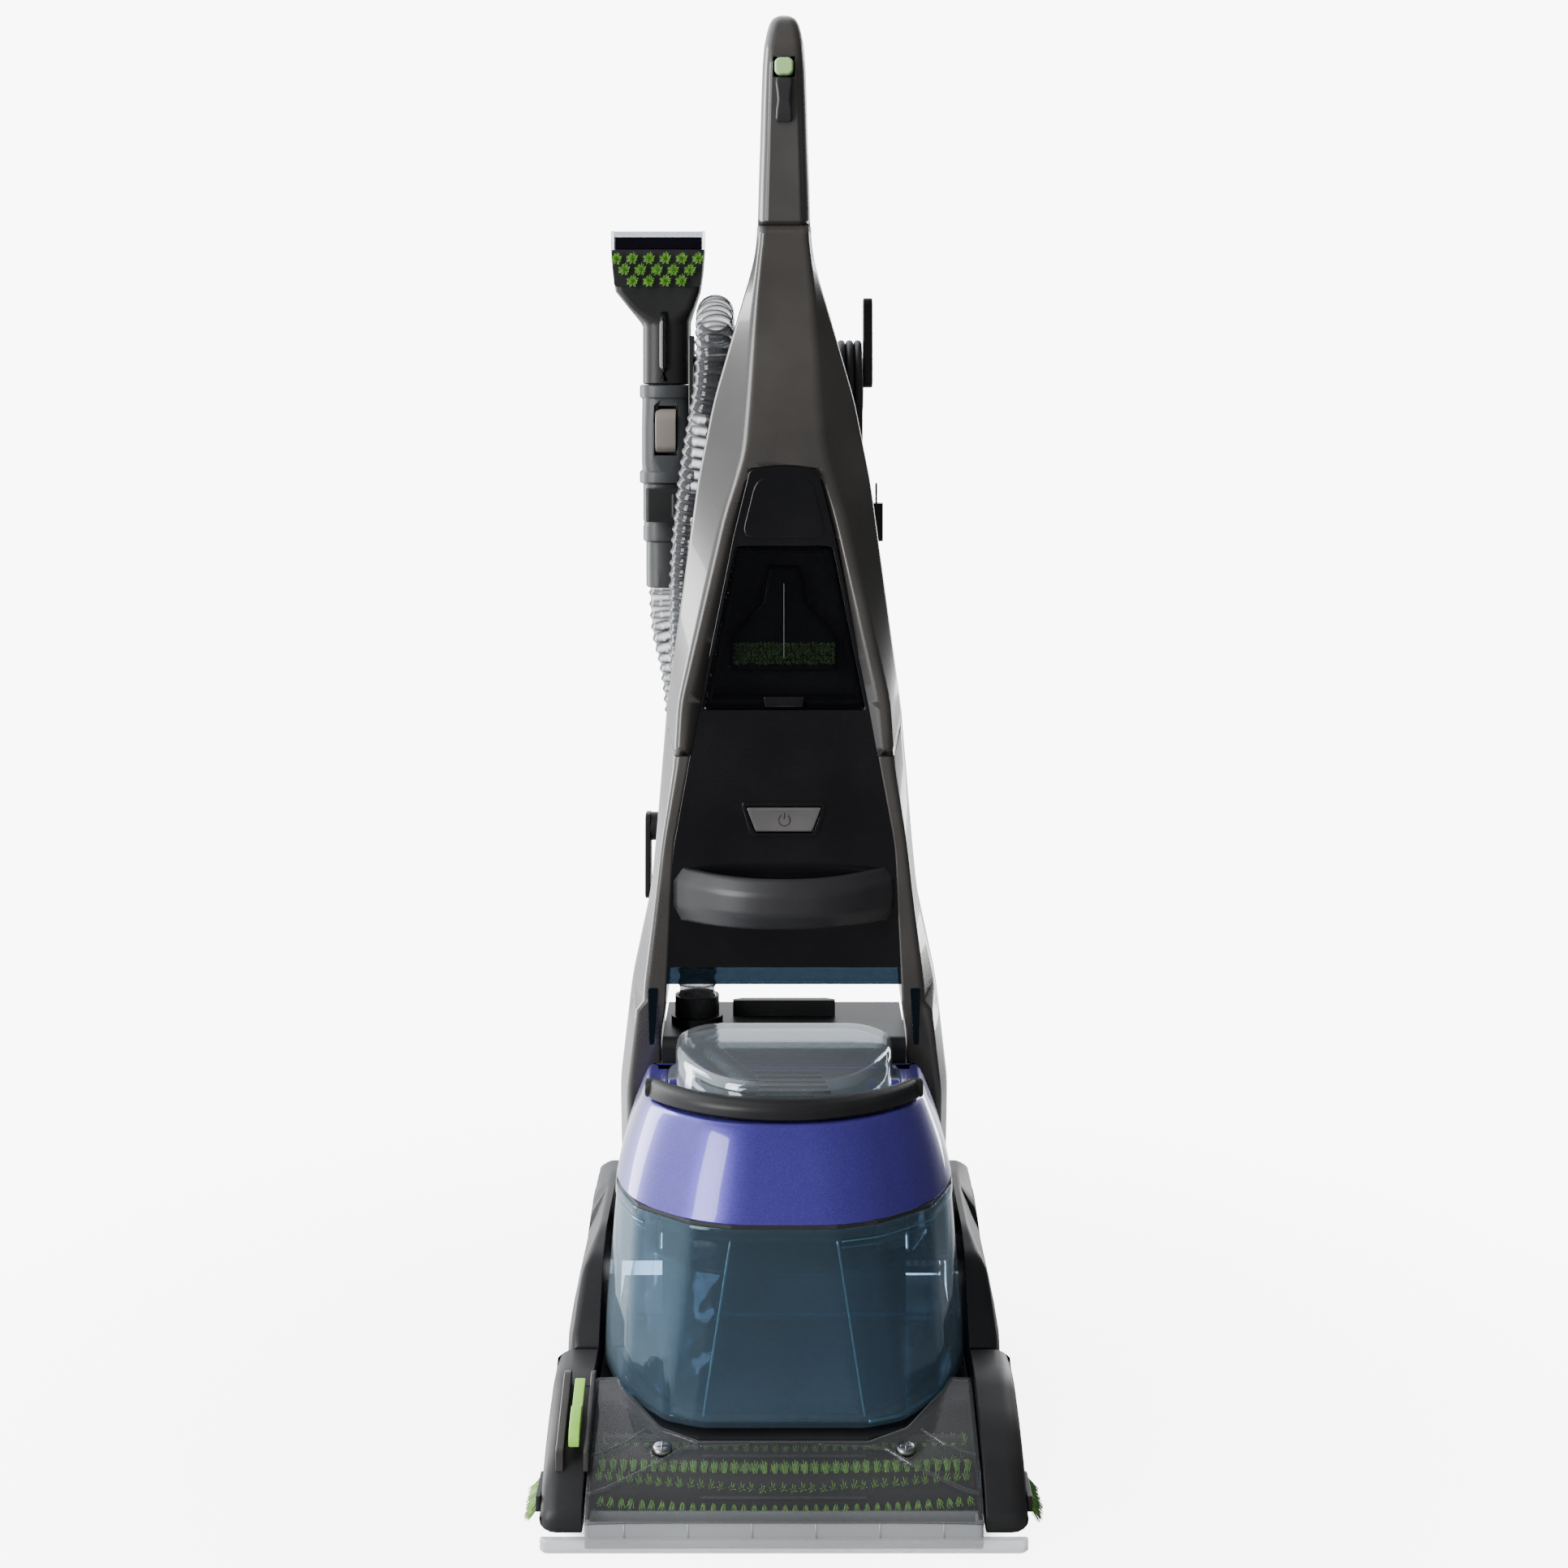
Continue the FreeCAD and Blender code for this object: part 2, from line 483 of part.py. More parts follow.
# ---- upright ------------------------------------------------------------------------
HALF_WIDTH = [(319, 123), (389, 108), (495, 98), (537, 95), (720, 70), (785, 57), (832, 43.5), (865, 34),
              (888, 27), (909, 22), (926, 21.5)]
FRONT_HALF = [(315, 111), (430, 98), (495, 87), (545, 84), (694, 48), (720, 39), (745, 31.5), (785, 28),
              (865, 24), (926, 18)]
OPENING_HALF = [(315, 99), (430, 88), (495, 76), (545, 67), (678, 40), (725, 28)]
FRONT_FACE_Y = [(319, 45), (545, 45), (729, 50), (865, 61), (926, 66)]
BACK_Y = [(516, 132), (545, 132), (720, 128), (832, 118), (926, 112)]


def upright_section(height):
    """Plan of the upper shell at a height: narrow front face, wide waist, narrower back."""
    wide, face = between(HALF_WIDTH, height), between(FRONT_HALF, height)
    front, back = between(FRONT_FACE_Y, height), between(BACK_Y, height)
    waist = front + 0.42 * (back - front)
    half = [(face, front), (wide, waist), (wide, waist + 5), (0.45 * wide + 3, back)]
    return half + [(-x, y) for x, y in reversed(half)]


def trapezoid(low, high, margin):
    """The front opening's outline between two heights, drawn in by a margin."""
    points = [z for z, _ in OPENING_HALF if low < z < high]
    right = [(between(OPENING_HALF, z) - margin, z) for z in [low] + points + [high]]
    return right + [(-x, z) for x, z in reversed(right)]


def make_upper_shell():
    """The upper body in two halves, with the spine at its back and the cord's low post."""
    heights = [SHELL_BOTTOM, 545, 600, 678, 720, 745, 785, 832, 865, 888, 909, HANDLE_BOTTOM]
    outer = loft([(h, upright_section(h)) for h in heights])
    hollow_heights = [SHELL_BOTTOM - 0.01] + heights[1:-1] + [HANDLE_BOTTOM - 4]
    hollow = loft([(h, inset(upright_section(h), WALL)) for h in hollow_heights])
    shell = outer.cut(hollow)
    front = shell.common(box((-130, 130), (0, SHELL_SPLIT_Y), (500, 930)))
    opening = prism("y", trapezoid(SHELL_BOTTOM - 1, BADGE_TOP, 0), 30, 62)
    keep("upper_shell", front.cut(opening))
    back = shell.common(box((-130, 130), (SHELL_SPLIT_Y, 200), (500, 930)))
    spine = prism("x", [(124, 400), (SPINE_BACK_Y, 412), (SPINE_BACK_Y, 800), (150, 862), (112, 862),
                        (114, 800), (124, 720)], -SPINE_HALF_WIDTH, SPINE_HALF_WIDTH)
    spine = spine.cut(hollow)
    hollow_spine = prism("x", [(130, 405), (184, 416), (184, 796), (150, 856), (130, 856)],
                         -SPINE_HALF_WIDTH + WALL, SPINE_HALF_WIDTH - WALL)
    post = cylinder(14, (SPINE_HALF_WIDTH, CORD_POST_Y, CORD_POST_LOW), (68, CORD_POST_Y, CORD_POST_LOW))
    blade = box((67, 71), (CORD_POST_Y - 11, CORD_POST_Y + 11), (470, CORD_POST_LOW + 8))
    drum = cylinder(20, (38, CORD_POST_Y, CORD_POST_LOW), (67, CORD_POST_Y, CORD_POST_LOW))
    low_hook = fused(post, blade, drum)
    hook_bore = cylinder(CORD_HOOK_PIN_RADIUS + FIT, (20, CORD_POST_Y, CORD_POST_TOP),
                         (30, CORD_POST_Y, CORD_POST_TOP))
    spine = spine.cut(hollow_spine).cut(hook_bore)
    keep("upper_back", fused(back, spine, low_hook))


def make_rails():
    """The two side rails that carry the upright, and the plate across their backs."""
    for name, side in (("right_rail", 1), ("left_rail", -1)):
        rows = [(SHELL_BOTTOM, 76, 97, 45, 108), (430, 88.5, 103.5, 45, 106), (BODY_BOTTOM, 99, 123, 45, 114),
                (229, RAIL_IN, 134, 62, 138), (150, RAIL_IN, RAIL_OUT, 100, 160),
                (PIVOT_Z, RAIL_IN, RAIL_OUT, 112, 158)]
        sections = []
        for z, near, far, front_y, back_y in rows:
            lean = between(FRONT_HALF, z) if z > 315 else far - 10
            outline = [(near, front_y), (min(lean, far - 3), front_y), (far, front_y + 32),
                       (far, back_y), (near, back_y)]
            sections.append((z, [(side * x, y) for x, y in outline]))
        body = loft(sections)
        inner = loft([(z if z < SHELL_BOTTOM else z - 5, inset(outline, WALL))
                      for z, outline in sections[:-2]])
        hub = cylinder(HUB_RADIUS, (side * RAIL_IN, PIVOT_Y, PIVOT_Z), (side * RAIL_OUT, PIVOT_Y, PIVOT_Z))
        rail = fused(body.cut(inner), hub)
        bore = cylinder(PIVOT_PIN_RADIUS + FIT, (side * 100, PIVOT_Y, PIVOT_Z),
                        (side * 140, PIVOT_Y, PIVOT_Z))
        keep(name, rail.cut(bore))

    back_profile = [(50, FASCIA_BOTTOM), (78, FASCIA_BOTTOM), (82, SHELL_BOTTOM - 1),
                    (50, SHELL_BOTTOM - 1)]
    lower = prism("x", back_profile, -100, 100)
    lower = lower.common(prism("y", trapezoid(FASCIA_BOTTOM, SHELL_BOTTOM - 1, -0.3), 40, 100))
    cavity = prism("x", [(49, FASCIA_BOTTOM + 4), (75, FASCIA_BOTTOM + 4), (79, SHELL_BOTTOM - 5),
                         (49, SHELL_BOTTOM - 5)], -100, 100)
    cavity = cavity.common(prism("y", trapezoid(FASCIA_BOTTOM + 1, SHELL_BOTTOM - 5, 3), 40, 100))
    keep("lower_back", lower.cut(cavity))


def make_front():
    """Fascia, power button, smoke band, carry handle, cover, bin and hand tool."""
    fascia = prism("y", trapezoid(FASCIA_BOTTOM, BADGE_TOP - 0.4, 0.4), UPRIGHT_FRONT_Y + 1, 49.5)
    window = [(30.6, 461.6), (23, 441.4), (-23, 441.4), (-30.6, 461.6)]
    fascia = fascia.cut(prism("y", window, 40, 60))
    fascia = fascia.cut(prism("y", trapezoid(FASCIA_TOP, COVER_TOP + 1, 2.6), 40, 60))
    keep("fascia", fascia)
    button = prism("y", [(30, 461), (22.6, 442), (-22.6, 442), (-30, 461)], 42.5, 52)
    keep("power_button", button)
    keep("smoke_band", prism("y", trapezoid(BODY_BOTTOM, FASCIA_BOTTOM - 0.3, 0.4), 47, 50))

    bar = arc_face([(-88, 46), (0, 4), (88, 46)], [(-66, 46), (0, 20), (66, 46)], 370)
    bar_room = box((-90, 90), (0, UPRIGHT_FRONT_Y + 1), (369, 412))
    keep("carry_handle", bar.extrude(Vector(0, 0, 41)).common(bar_room))

    cover = prism("y", trapezoid(FASCIA_TOP + 0.5, COVER_TOP, 3.2), 45.4, 48.4)
    hinge_barrel = cylinder(HINGE_BARREL_RADIUS, (-HINGE_BARREL_HALF, UPRIGHT_FRONT_Y, COVER_TOP),
                            (HINGE_BARREL_HALF, UPRIGHT_FRONT_Y, COVER_TOP))
    keep("storage_cover", fused(cover, hinge_barrel))
    bin_outline = trapezoid(FASCIA_TOP + 4, BADGE_BOTTOM - 12, 6)
    inside = trapezoid(FASCIA_TOP + 7, BADGE_BOTTOM - 15, 9)
    keep("storage_bin", prism("y", bin_outline, 50, 108).cut(prism("y", inside, 49, 105)))
    half_tool = [(44, 566), (44, 592), (18, 622), (14, 650)]
    tool_outline = half_tool + [(-x, z) for x, z in reversed(half_tool)]
    keep("upholstery_tool", fused(prism("y", tool_outline, 70, 92), box((-41, 41), (60, 71), (573, 590))))


def make_handle():
    """The handle, which leans back near its top, its grip with the guard, and the trigger."""
    grip_rows = [(HANDLE_BOTTOM + 0.3, 21.5, 66, 112), (990, 19.6, 68, 110), (1056, 17.6, 71, 110),
                 (1078, 15.5, 77, 120), (1092, 12.5, 88, 132), (MACHINE_TOP, 9.5, 106, 138)]

    def grip(rows, margin):
        sections = []
        for z, half, front_y, back_y in rows:
            outline = [(half * 0.74, front_y), (half, front_y + 9), (half, back_y - 12),
                       (half * 0.55, back_y)]
            outline += [(-x, y) for x, y in reversed(outline)]
            sections.append((z, inset(outline, margin) if margin else outline))
        return loft(sections)

    strip_low, strip_high = HANDLE_BOTTOM + 2, 1064
    shell = grip(grip_rows, 0).cut(grip(grip_rows[:4], WALL))
    strip = [(15.6, strip_low), (11.6, strip_high - 4), (8, strip_high), (-8, strip_high),
             (-11.6, strip_high - 4), (-15.6, strip_low)]
    slot = prism("y", strip, 60, 73.5)
    front_skin = grip([row for row in grip_rows if row[0] < 1070] + [grip_rows[3]], 0)
    strip_edge = [(x * 0.98, z + (GAP if z < 1000 else -GAP)) for x, z in strip]
    grip_front = front_skin.common(prism("y", strip_edge, 60, 73.2))
    shell = shell.cut(slot)
    guard = prism("x", [(76, 1010), (62, 1013), (62, 1040), (70, 1046), (76, 1046)], -6.7, 6.7)
    pocket = box((-8.6, 8.6), (55, 90), (1046.4, 1062.6))
    keep("handle_grip", fused(grip_front, guard.cut(box((-8, 8), (72.5, 80), (1000, 1050)))).cut(pocket))
    keep("handle_shell", shell.cut(pocket))
    trigger_outline = [(63, 1050), (63, 1058), (67, 1062), (80, 1062), (80, 1047), (66, 1047)]
    keep("spray_trigger", prism("x", trigger_outline, -8, 8))


# ---- hose, wand and power cord ------------------------------------------------------
HOSE_ROUTE = [(CLIP_X, CLIP_Y, CLIP_HIGH), (CLIP_X, CLIP_Y, 675), (-51, 210, 745), (-56, 210, 800),
              (-58, 200, 842), (-58, 165, 862), (-58, 130, 842), (-59, 120, 798), (-67, 128, 755),
              (-76, 143, 700), (-81, 149, 640), (-81, 148, 575), (-80, 143, 510), (-81, 139, 455),
              (-82, 144, 405), (-83, 185, 381), (-84, 226, 405), (-84, 233, 455), (-87, 228, 505),
              (-92, 222, 555), (WAND_X, WAND_Y, 590), (WAND_X, WAND_Y, 622)]
BASE_HOSE_ROUTE = [(COLLAR_X, COLLAR_Y, COLLAR_TOP), (COLLAR_X, COLLAR_Y, 330), (-64, 98, 366),
                   (-55, 106, 402), (-49, 124, 438), (CLIP_X, 152, 472), (-46, 184, 508),
                   (CLIP_X, CLIP_Y, 550), (CLIP_X, CLIP_Y, CLIP_LOW)]
CORD_ROUTE = [(53, 160, 440), (66, 160, 440), (79, 163, 445), (88, 169, 458), (91, 179, 475), (88, 191, 491),
              (82, 202, 506), (74, 208, 522), (63, 210, 538)]
PLUG_ROUTE = [(72, 176, 649), (72, 176, 636), (71, 181, 622), (68, 188, 610), (62, 194, 600),
              (55, 198, 592)]


def make_hose_hooks():
    """The fixed rests on the spine's left that carry the hose and the wand."""
    spine = SPINE_HALF_WIDTH
    saddle = fused(cylinder(25, (-76, 165, 796), (-spine, 165, 796)),
                   box((-80, -76), (150, 180), (774, 836)))
    low_post = fused(cylinder(12, (-117, 185, 420), (-spine, 185, 420)),
                     box((-118, -113), (171, 199), (360, 432)))
    clip = fused(box((-60, -spine), (176, 192), (CLIP_LOW + 2, CLIP_HIGH - 2)),
                 cylinder(20, (CLIP_X, CLIP_Y, CLIP_LOW), (CLIP_X, CLIP_Y, CLIP_HIGH)))
    clip = clip.cut(cylinder(12, (CLIP_X, CLIP_Y, 580), (CLIP_X, CLIP_Y, 620)))
    arm = fused(box((-96, -spine), (170, 182), (684, 704)),
                box((-118, -84), (172, 190.2), (680, 708)))
    keep("hose_hooks", Part.Compound([saddle, low_post, clip, arm]))


def make_wand():
    """The wand with its trigger and the stain tool on its end."""
    wand_x, wand_y = WAND_X, WAND_Y
    cuff = cylinder(18, (wand_x, wand_y, 622), (wand_x, wand_y, 662))
    stem = cylinder(20.5, (wand_x, wand_y, 662), (wand_x, wand_y, 712))
    ring = cylinder(23.5, (wand_x, wand_y, 712), (wand_x, wand_y, 722))
    grip = rounded_prism("z", [(wand_x - 22, wand_y - 21.5), (wand_x + 20, wand_y - 21.5),
                               (wand_x + 20, wand_y + 21), (wand_x - 22, wand_y + 21)], 722, 785, 8)
    collar = cylinder(23.5, (wand_x, wand_y, 785), (wand_x, wand_y, 796))
    pocket = box((wand_x - 9.6, wand_x + 9.6), (wand_y - 30, wand_y - 7), (736, 778))
    keep("wand_body", fused(cuff, stem, ring, grip, collar).cut(pocket))
    trigger_outline = [(wand_y - 24, 742), (wand_y - 26, 768), (wand_y - 20, 776), (wand_y - 11, 776),
                       (wand_y - 11, 738), (wand_y - 20, 738)]
    keep("wand_trigger", prism("x", trigger_outline, wand_x - 9, wand_x + 9))
    neck = cylinder(21, (wand_x, wand_y, 796.3), (wand_x, wand_y, 852))
    x, y = wand_x - 7.3, wand_y
    head = loft([(846, [(x - 22, y - 20), (x + 26, y - 20), (x + 26, y + 18), (x - 22, y + 18)]),
                 (876, [(x - 37, y - 19), (x + 37, y - 19), (x + 37, y + 14), (x - 37, y + 14)]),
                 (912, [(x - 40.5, y - 18), (x + 40.5, y - 18), (x + 40.5, y + 6), (x - 40.5, y + 6)])])
    lip = box((x - 40.5, x + 40.5), (y - 14, y + 2), (912, 928))
    lip = lip.cut(box((x - 38, x + 38), (y - 11.5, y - 0.5), (911, 930)))
    tufts = []
    for row, count in enumerate((6, 5, 4)):
        for i in range(count):
            tuft_x = x + (i - (count - 1) / 2) * 14.0
            tuft_z = 904 - 9.5 * row
            tufts.append(cone(3.2, 5.0, (tuft_x, y - 17, tuft_z), (tuft_x, y - 26, tuft_z)))
    keep("stain_tool", fused(neck, head, lip, *tufts))


def make_cords():
    """The hose in its two runs, the cord hook, and the power cord with its plug."""
    spine = SPINE_HALF_WIDTH
    keep("accessory_hose", tube("accessory_hose", HOSE_ROUTE, HOSE_RADIUS))
    keep("base_hose", tube("base_hose", BASE_HOSE_ROUTE, HOSE_RADIUS))

    post_x = (spine + GAP, HANK_X[1] + 1)

    def on_post(radius, start, end):
        return cylinder(radius, (start, CORD_POST_Y, CORD_POST_TOP), (end, CORD_POST_Y, CORD_POST_TOP))

    blade_outline = [(CORD_POST_Y - 13, 794), (CORD_POST_Y + 13, 794), (CORD_POST_Y + 10, 870),
                     (CORD_POST_Y - 10, 870)]
    hook = fused(on_post(20, 44, post_x[1]), on_post(9, post_x[0], 45),
                 on_post(CORD_HOOK_PIN_RADIUS, 21, 45), rounded_prism("x", blade_outline, 67, 75, 5))
    keep("cord_hook", hook)

    keep("cord_hank", rounded_hank(HANK_OUTER).cut(rounded_hank(HANK_INNER)))
    keep("strain_relief", cone(7, 4.5, (spine, 160, 440), (53, 160, 440)))
    keep("cord_lead", Part.Compound([tube("cord_lead", CORD_ROUTE, CORD_RADIUS),
                                     tube("plug_lead", PLUG_ROUTE, CORD_RADIUS)]))
    body = rounded_prism("z", [(60, 167), (84, 167), (84, 185), (60, 185)], 664, 696, 4)
    neck = cone(4.5, 7.5, (72, 176, 649), (72, 176, 664))
    blades = [box((x - 0.8, x + 0.8), (173, 179), (696, 713)) for x in (65.6, 78.4)]
    keep("plug", fused(body, neck, *blades))


def rounded_hank(radius):
    """A racetrack block round the two cord posts."""
    low, high = HANK_X
    across = (CORD_POST_Y - radius, CORD_POST_Y + radius)
    straight = box((low, high), across, (CORD_POST_LOW, CORD_POST_TOP))
    top = cylinder(radius, (low, CORD_POST_Y, CORD_POST_TOP), (high, CORD_POST_Y, CORD_POST_TOP))
    bottom = cylinder(radius, (low, CORD_POST_Y, CORD_POST_LOW), (high, CORD_POST_Y, CORD_POST_LOW))
    return fused(straight, top, bottom)


def main():
    """Make every piece and write its STEP file."""
    for make in (make_chassis, make_housing, make_sides, make_hood, make_drive, make_fittings, make_tank,
                 make_upper_shell, make_rails, make_front, make_handle, make_hose_hooks, make_wand,
                 make_cords):
        make()
    os.makedirs("parts", exist_ok=True)
    for name, shape in pieces.items():
        if not shape.isValid():
            print("not valid:", name)
        shape.exportStep(os.path.join("parts", name + ".step"))
    print(len(pieces), "pieces")


main()
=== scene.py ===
# %% [markdown]
# # An upright carpet cleaner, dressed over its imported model
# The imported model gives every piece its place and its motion. This script gives each piece its looks: smooth moulded
# shells, clear tank walls, bristles, a corrugated hose and a wound cord, and a finish for every surface.
# Outlines are written in millimetres, because that is how such a machine is drawn, and turned into metres once.

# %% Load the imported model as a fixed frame
import math
import random

import bmesh
import bpy
import numpy as np
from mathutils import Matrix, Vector


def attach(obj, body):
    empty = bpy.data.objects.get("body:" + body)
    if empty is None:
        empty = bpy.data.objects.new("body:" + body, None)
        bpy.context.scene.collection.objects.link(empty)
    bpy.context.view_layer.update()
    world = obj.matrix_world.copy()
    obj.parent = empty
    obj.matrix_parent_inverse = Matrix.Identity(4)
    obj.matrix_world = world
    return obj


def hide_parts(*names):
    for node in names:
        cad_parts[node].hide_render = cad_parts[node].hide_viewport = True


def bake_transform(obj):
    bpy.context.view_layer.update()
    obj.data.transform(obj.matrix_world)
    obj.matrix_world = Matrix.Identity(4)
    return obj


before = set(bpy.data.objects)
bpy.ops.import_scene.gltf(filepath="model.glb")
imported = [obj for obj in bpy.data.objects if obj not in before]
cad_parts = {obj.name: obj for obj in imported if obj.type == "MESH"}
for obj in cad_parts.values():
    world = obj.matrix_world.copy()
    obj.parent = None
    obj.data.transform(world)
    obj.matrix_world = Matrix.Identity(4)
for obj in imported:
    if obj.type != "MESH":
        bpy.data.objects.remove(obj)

MM = 0.001
PIVOT_Y, PIVOT_Z = 135, 100        # millimetres, as are the rest
WHEEL_Y, WHEEL_Z = 178, 57
ROLL_YS, ROLL_Z = (-186, -140), 21.5
BAIL_Y, BAIL_Z = -58, 268
HOOK_Y, HOOK_Z = 176, 793
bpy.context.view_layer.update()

# %% [markdown]
# ## The camera
# A level camera stands straight in front, a little above the middle of the machine, with its frame shifted down,
# so that upright lines stay parallel.

# %% Camera
CAMERA_AHEAD = 1.716      # metres from the front lip
CAMERA_HEIGHT = 0.822
FRONT_LIP_Y = -0.235
LENS = 57.48447           # millimetres, on a sensor 36 wide
SHIFT_DOWN = 0.2738095    # of the frame's width

camera_data = bpy.data.cameras.new("camera")
camera_data.sensor_width = 36.0
camera_data.lens = LENS
camera_data.shift_y = -SHIFT_DOWN
camera = bpy.data.objects.new("camera", camera_data)
camera.location = (0.0, FRONT_LIP_Y - CAMERA_AHEAD, CAMERA_HEIGHT)
camera.rotation_euler = (math.radians(90), 0, 0)
bpy.context.scene.collection.objects.link(camera)
bpy.context.scene.camera = camera
print("lens", round(camera_data.lens, 1), "mm")

# %% [markdown]
# ## Studio
# A pale floor, one large soft light on the left, and a tall strip behind each shoulder. The strips draw the bright
# edges that show where dark plastic turns away. The world is white where the camera sees it and dimmer in reflections,
# so that polished black stays black.

# %% Floor, lights and world
def area_light(name, place, towards, size, watts, mirrored=True):
    data = bpy.data.lights.new(name, "AREA")
    data.shape = "RECTANGLE"
    data.size, data.size_y = size
    data.energy = watts
    lamp = bpy.data.objects.new(name, data)
    lamp.location = place
    lamp.rotation_euler = (Vector(towards) - Vector(place)).to_track_quat("-Z", "Y").to_euler()
    lamp.visible_glossy = mirrored
    bpy.context.scene.collection.objects.link(lamp)


area_light("key_left", (-1.55, -1.35, 1.05), (0, 0, 0.5), (0.75, 1.9), 62)
area_light("strip_left", (-1.35, 0.78, 0.75), (0, 0.05, 0.5), (0.5, 1.8), 40)
area_light("strip_right", (0.95, 1.6, 0.7), (0, 0.05, 0.5), (0.25, 1.7), 14)
area_light("top_front", (-0.6, -0.9, 2.7), (0, -0.1, 0.2), (1.2, 0.9), 55, mirrored=False)
area_light("low_front", (0.3, -1.6, 0.35), (0, -0.1, 0.08), (1.2, 0.4), 16, mirrored=False)
print(len(bpy.data.lights), "lights")


def studio_world():
    """White where the camera looks; for light and reflections, bright behind the machine and dark in front of it."""
    world = bpy.data.worlds.new("studio")
    bpy.context.scene.world = world
    world.use_nodes = True
    nodes, links = world.node_tree.nodes, world.node_tree.links
    nodes.clear()
    way = nodes.new("ShaderNodeTexCoord")
    towards = nodes.new("ShaderNodeVectorMath")
    towards.operation = "DOT_PRODUCT"
    towards.inputs[1].default_value = (-1.3, 1.0, 0.0)
    links.new(way.outputs["Generated"], towards.inputs[0])
    behind = nodes.new("ShaderNodeMapRange")
    behind.interpolation_type = "SMOOTHSTEP"
    for index, value in ((1, 0.0), (2, 1.0), (3, 0.10), (4, 2.2)):
        behind.inputs[index].default_value = value
    links.new(towards.outputs["Value"], behind.inputs[0])
    fill = nodes.new("ShaderNodeBackground")
    fill.inputs["Color"].default_value = (0.94, 0.96, 1, 1)
    links.new(behind.outputs[0], fill.inputs["Strength"])
    seen = nodes.new("ShaderNodeBackground")
    seen.inputs["Color"].default_value = (1, 1, 1, 1)
    seen.inputs["Strength"].default_value = 9.0
    path = nodes.new("ShaderNodeLightPath")
    mix = nodes.new("ShaderNodeMixShader")
    out = nodes.new("ShaderNodeOutputWorld")
    links.new(path.outputs["Is Camera Ray"], mix.inputs[0])
    links.new(fill.outputs[0], mix.inputs[1])
    links.new(seen.outputs[0], mix.inputs[2])
    links.new(mix.outputs[0], out.inputs[0])


studio_world()

# %% [markdown]
# ## Shader maths as plain expressions
# A finish is easier to read as `0.3 + 0.1 * grain` than as a web of nodes. This small class wraps one socket, and each
# operator adds the Math or Mix node that it stands for.

# %% Shader helper
class Finish:
    """One material under construction."""

    def __init__(self, name):
        self.material = bpy.data.materials.new(name)
        self.material.use_nodes = True
        self.tree = self.material.node_tree
        self.tree.nodes.clear()

    def node(self, kind, settings=None, **values):
        made = self.tree.nodes.new(kind)
        for key, value in (settings or {}).items():
            setattr(made, key, value)
        for key, value in values.items():
            socket = made.inputs[int(key[1:])] if key[0] == "i" and key[1:].isdigit() else \
                made.inputs[key.replace("_", " ")]
            self.feed(socket, value)
        return made

    def feed(self, socket, value):
        if isinstance(value, Sock):
            self.tree.links.new(value.socket, socket)
        elif isinstance(value, tuple) and socket.type == "RGBA" and len(value) == 3:
            socket.default_value = (*value, 1)
        else:
            socket.default_value = value

    def sock(self, made, output=0):
        return Sock(self, made.outputs[output])

    def place(self):
        return self.sock(self.node("ShaderNodeTexCoord"), "Object")

    def noise(self, scale, detail=2.0, stretch=None):
        place = self.place()
        if stretch:
            place = self.sock(self.node("ShaderNodeVectorMath", {"operation": "MULTIPLY"}, i0=place, i1=stretch))
        made = self.node("ShaderNodeTexNoise", None, Vector=place, Scale=scale, Detail=detail, Roughness=0.5)
        return self.sock(made, "Fac")

    def mix(self, amount, low, high):
        made = self.node("ShaderNodeMix", {"data_type": "RGBA"})
        self.feed(made.inputs[0], amount)
        self.feed(made.inputs[6], low)
        self.feed(made.inputs[7], high)
        return self.sock(made, 2)

    def glazed(self, amount, window, gloss):
        """A see-through shader covered by a gloss, by an amount."""
        made = self.node("ShaderNodeMixShader")
        self.feed(made.inputs[0], amount)
        self.tree.links.new(window.outputs[0], made.inputs[1])
        self.tree.links.new(gloss.outputs[0], made.inputs[2])
        return self.done(made)

    def bump(self, height, strength, distance):
        return self.sock(self.node("ShaderNodeBump", None, Height=height, Strength=strength, Distance=distance),
                         "Normal")

    def surface(self, colour, roughness, **values):
        shader = self.node("ShaderNodeBsdfPrincipled", None, Base_Color=colour, Roughness=roughness)
        for key, value in values.items():
            self.feed(shader.inputs[key.replace("_", " ")], value)
        return shader

    def done(self, shader):
        output = self.node("ShaderNodeOutputMaterial")
        self.tree.links.new(shader.outputs[0], output.inputs["Surface"])
        return self.material


class Sock:
    """A socket that takes part in sums."""

    def __init__(self, finish, socket):
        self.finish, self.socket = finish, socket

    def maths(self, operation, a, b):
        made = self.finish.node("ShaderNodeMath", {"operation": operation})
        self.finish.feed(made.inputs[0], a)
        if b is not None:
            self.finish.feed(made.inputs[1], b)
        return Sock(self.finish, made.outputs[0])

    def __add__(self, other):
        return self.maths("ADD", self, other)

    def __radd__(self, other):
        return self.maths("ADD", other, self)

    def __rsub__(self, other):
        return self.maths("SUBTRACT", other, self)

    def __mul__(self, other):
        return self.maths("MULTIPLY", self, other)

    def __rmul__(self, other):
        return self.maths("MULTIPLY", other, self)

    def __pow__(self, other):
        return self.maths("POWER", self, other)

    def clear_of(self, low, high):
        """0 below low, 1 above high, straight between."""
        made = self.finish.node("ShaderNodeMapRange", None, i0=self, i1=low, i2=high)
        return Sock(self.finish, made.outputs[0])


# %% [markdown]
# ## Opaque finishes
# Moulded plastic is never one flat colour: a fine grain breaks up the gloss, and handling leaves it a little paler and
# duller in patches. The grain is a bump of a few hundredths of a millimetre, and the patches drive roughness.

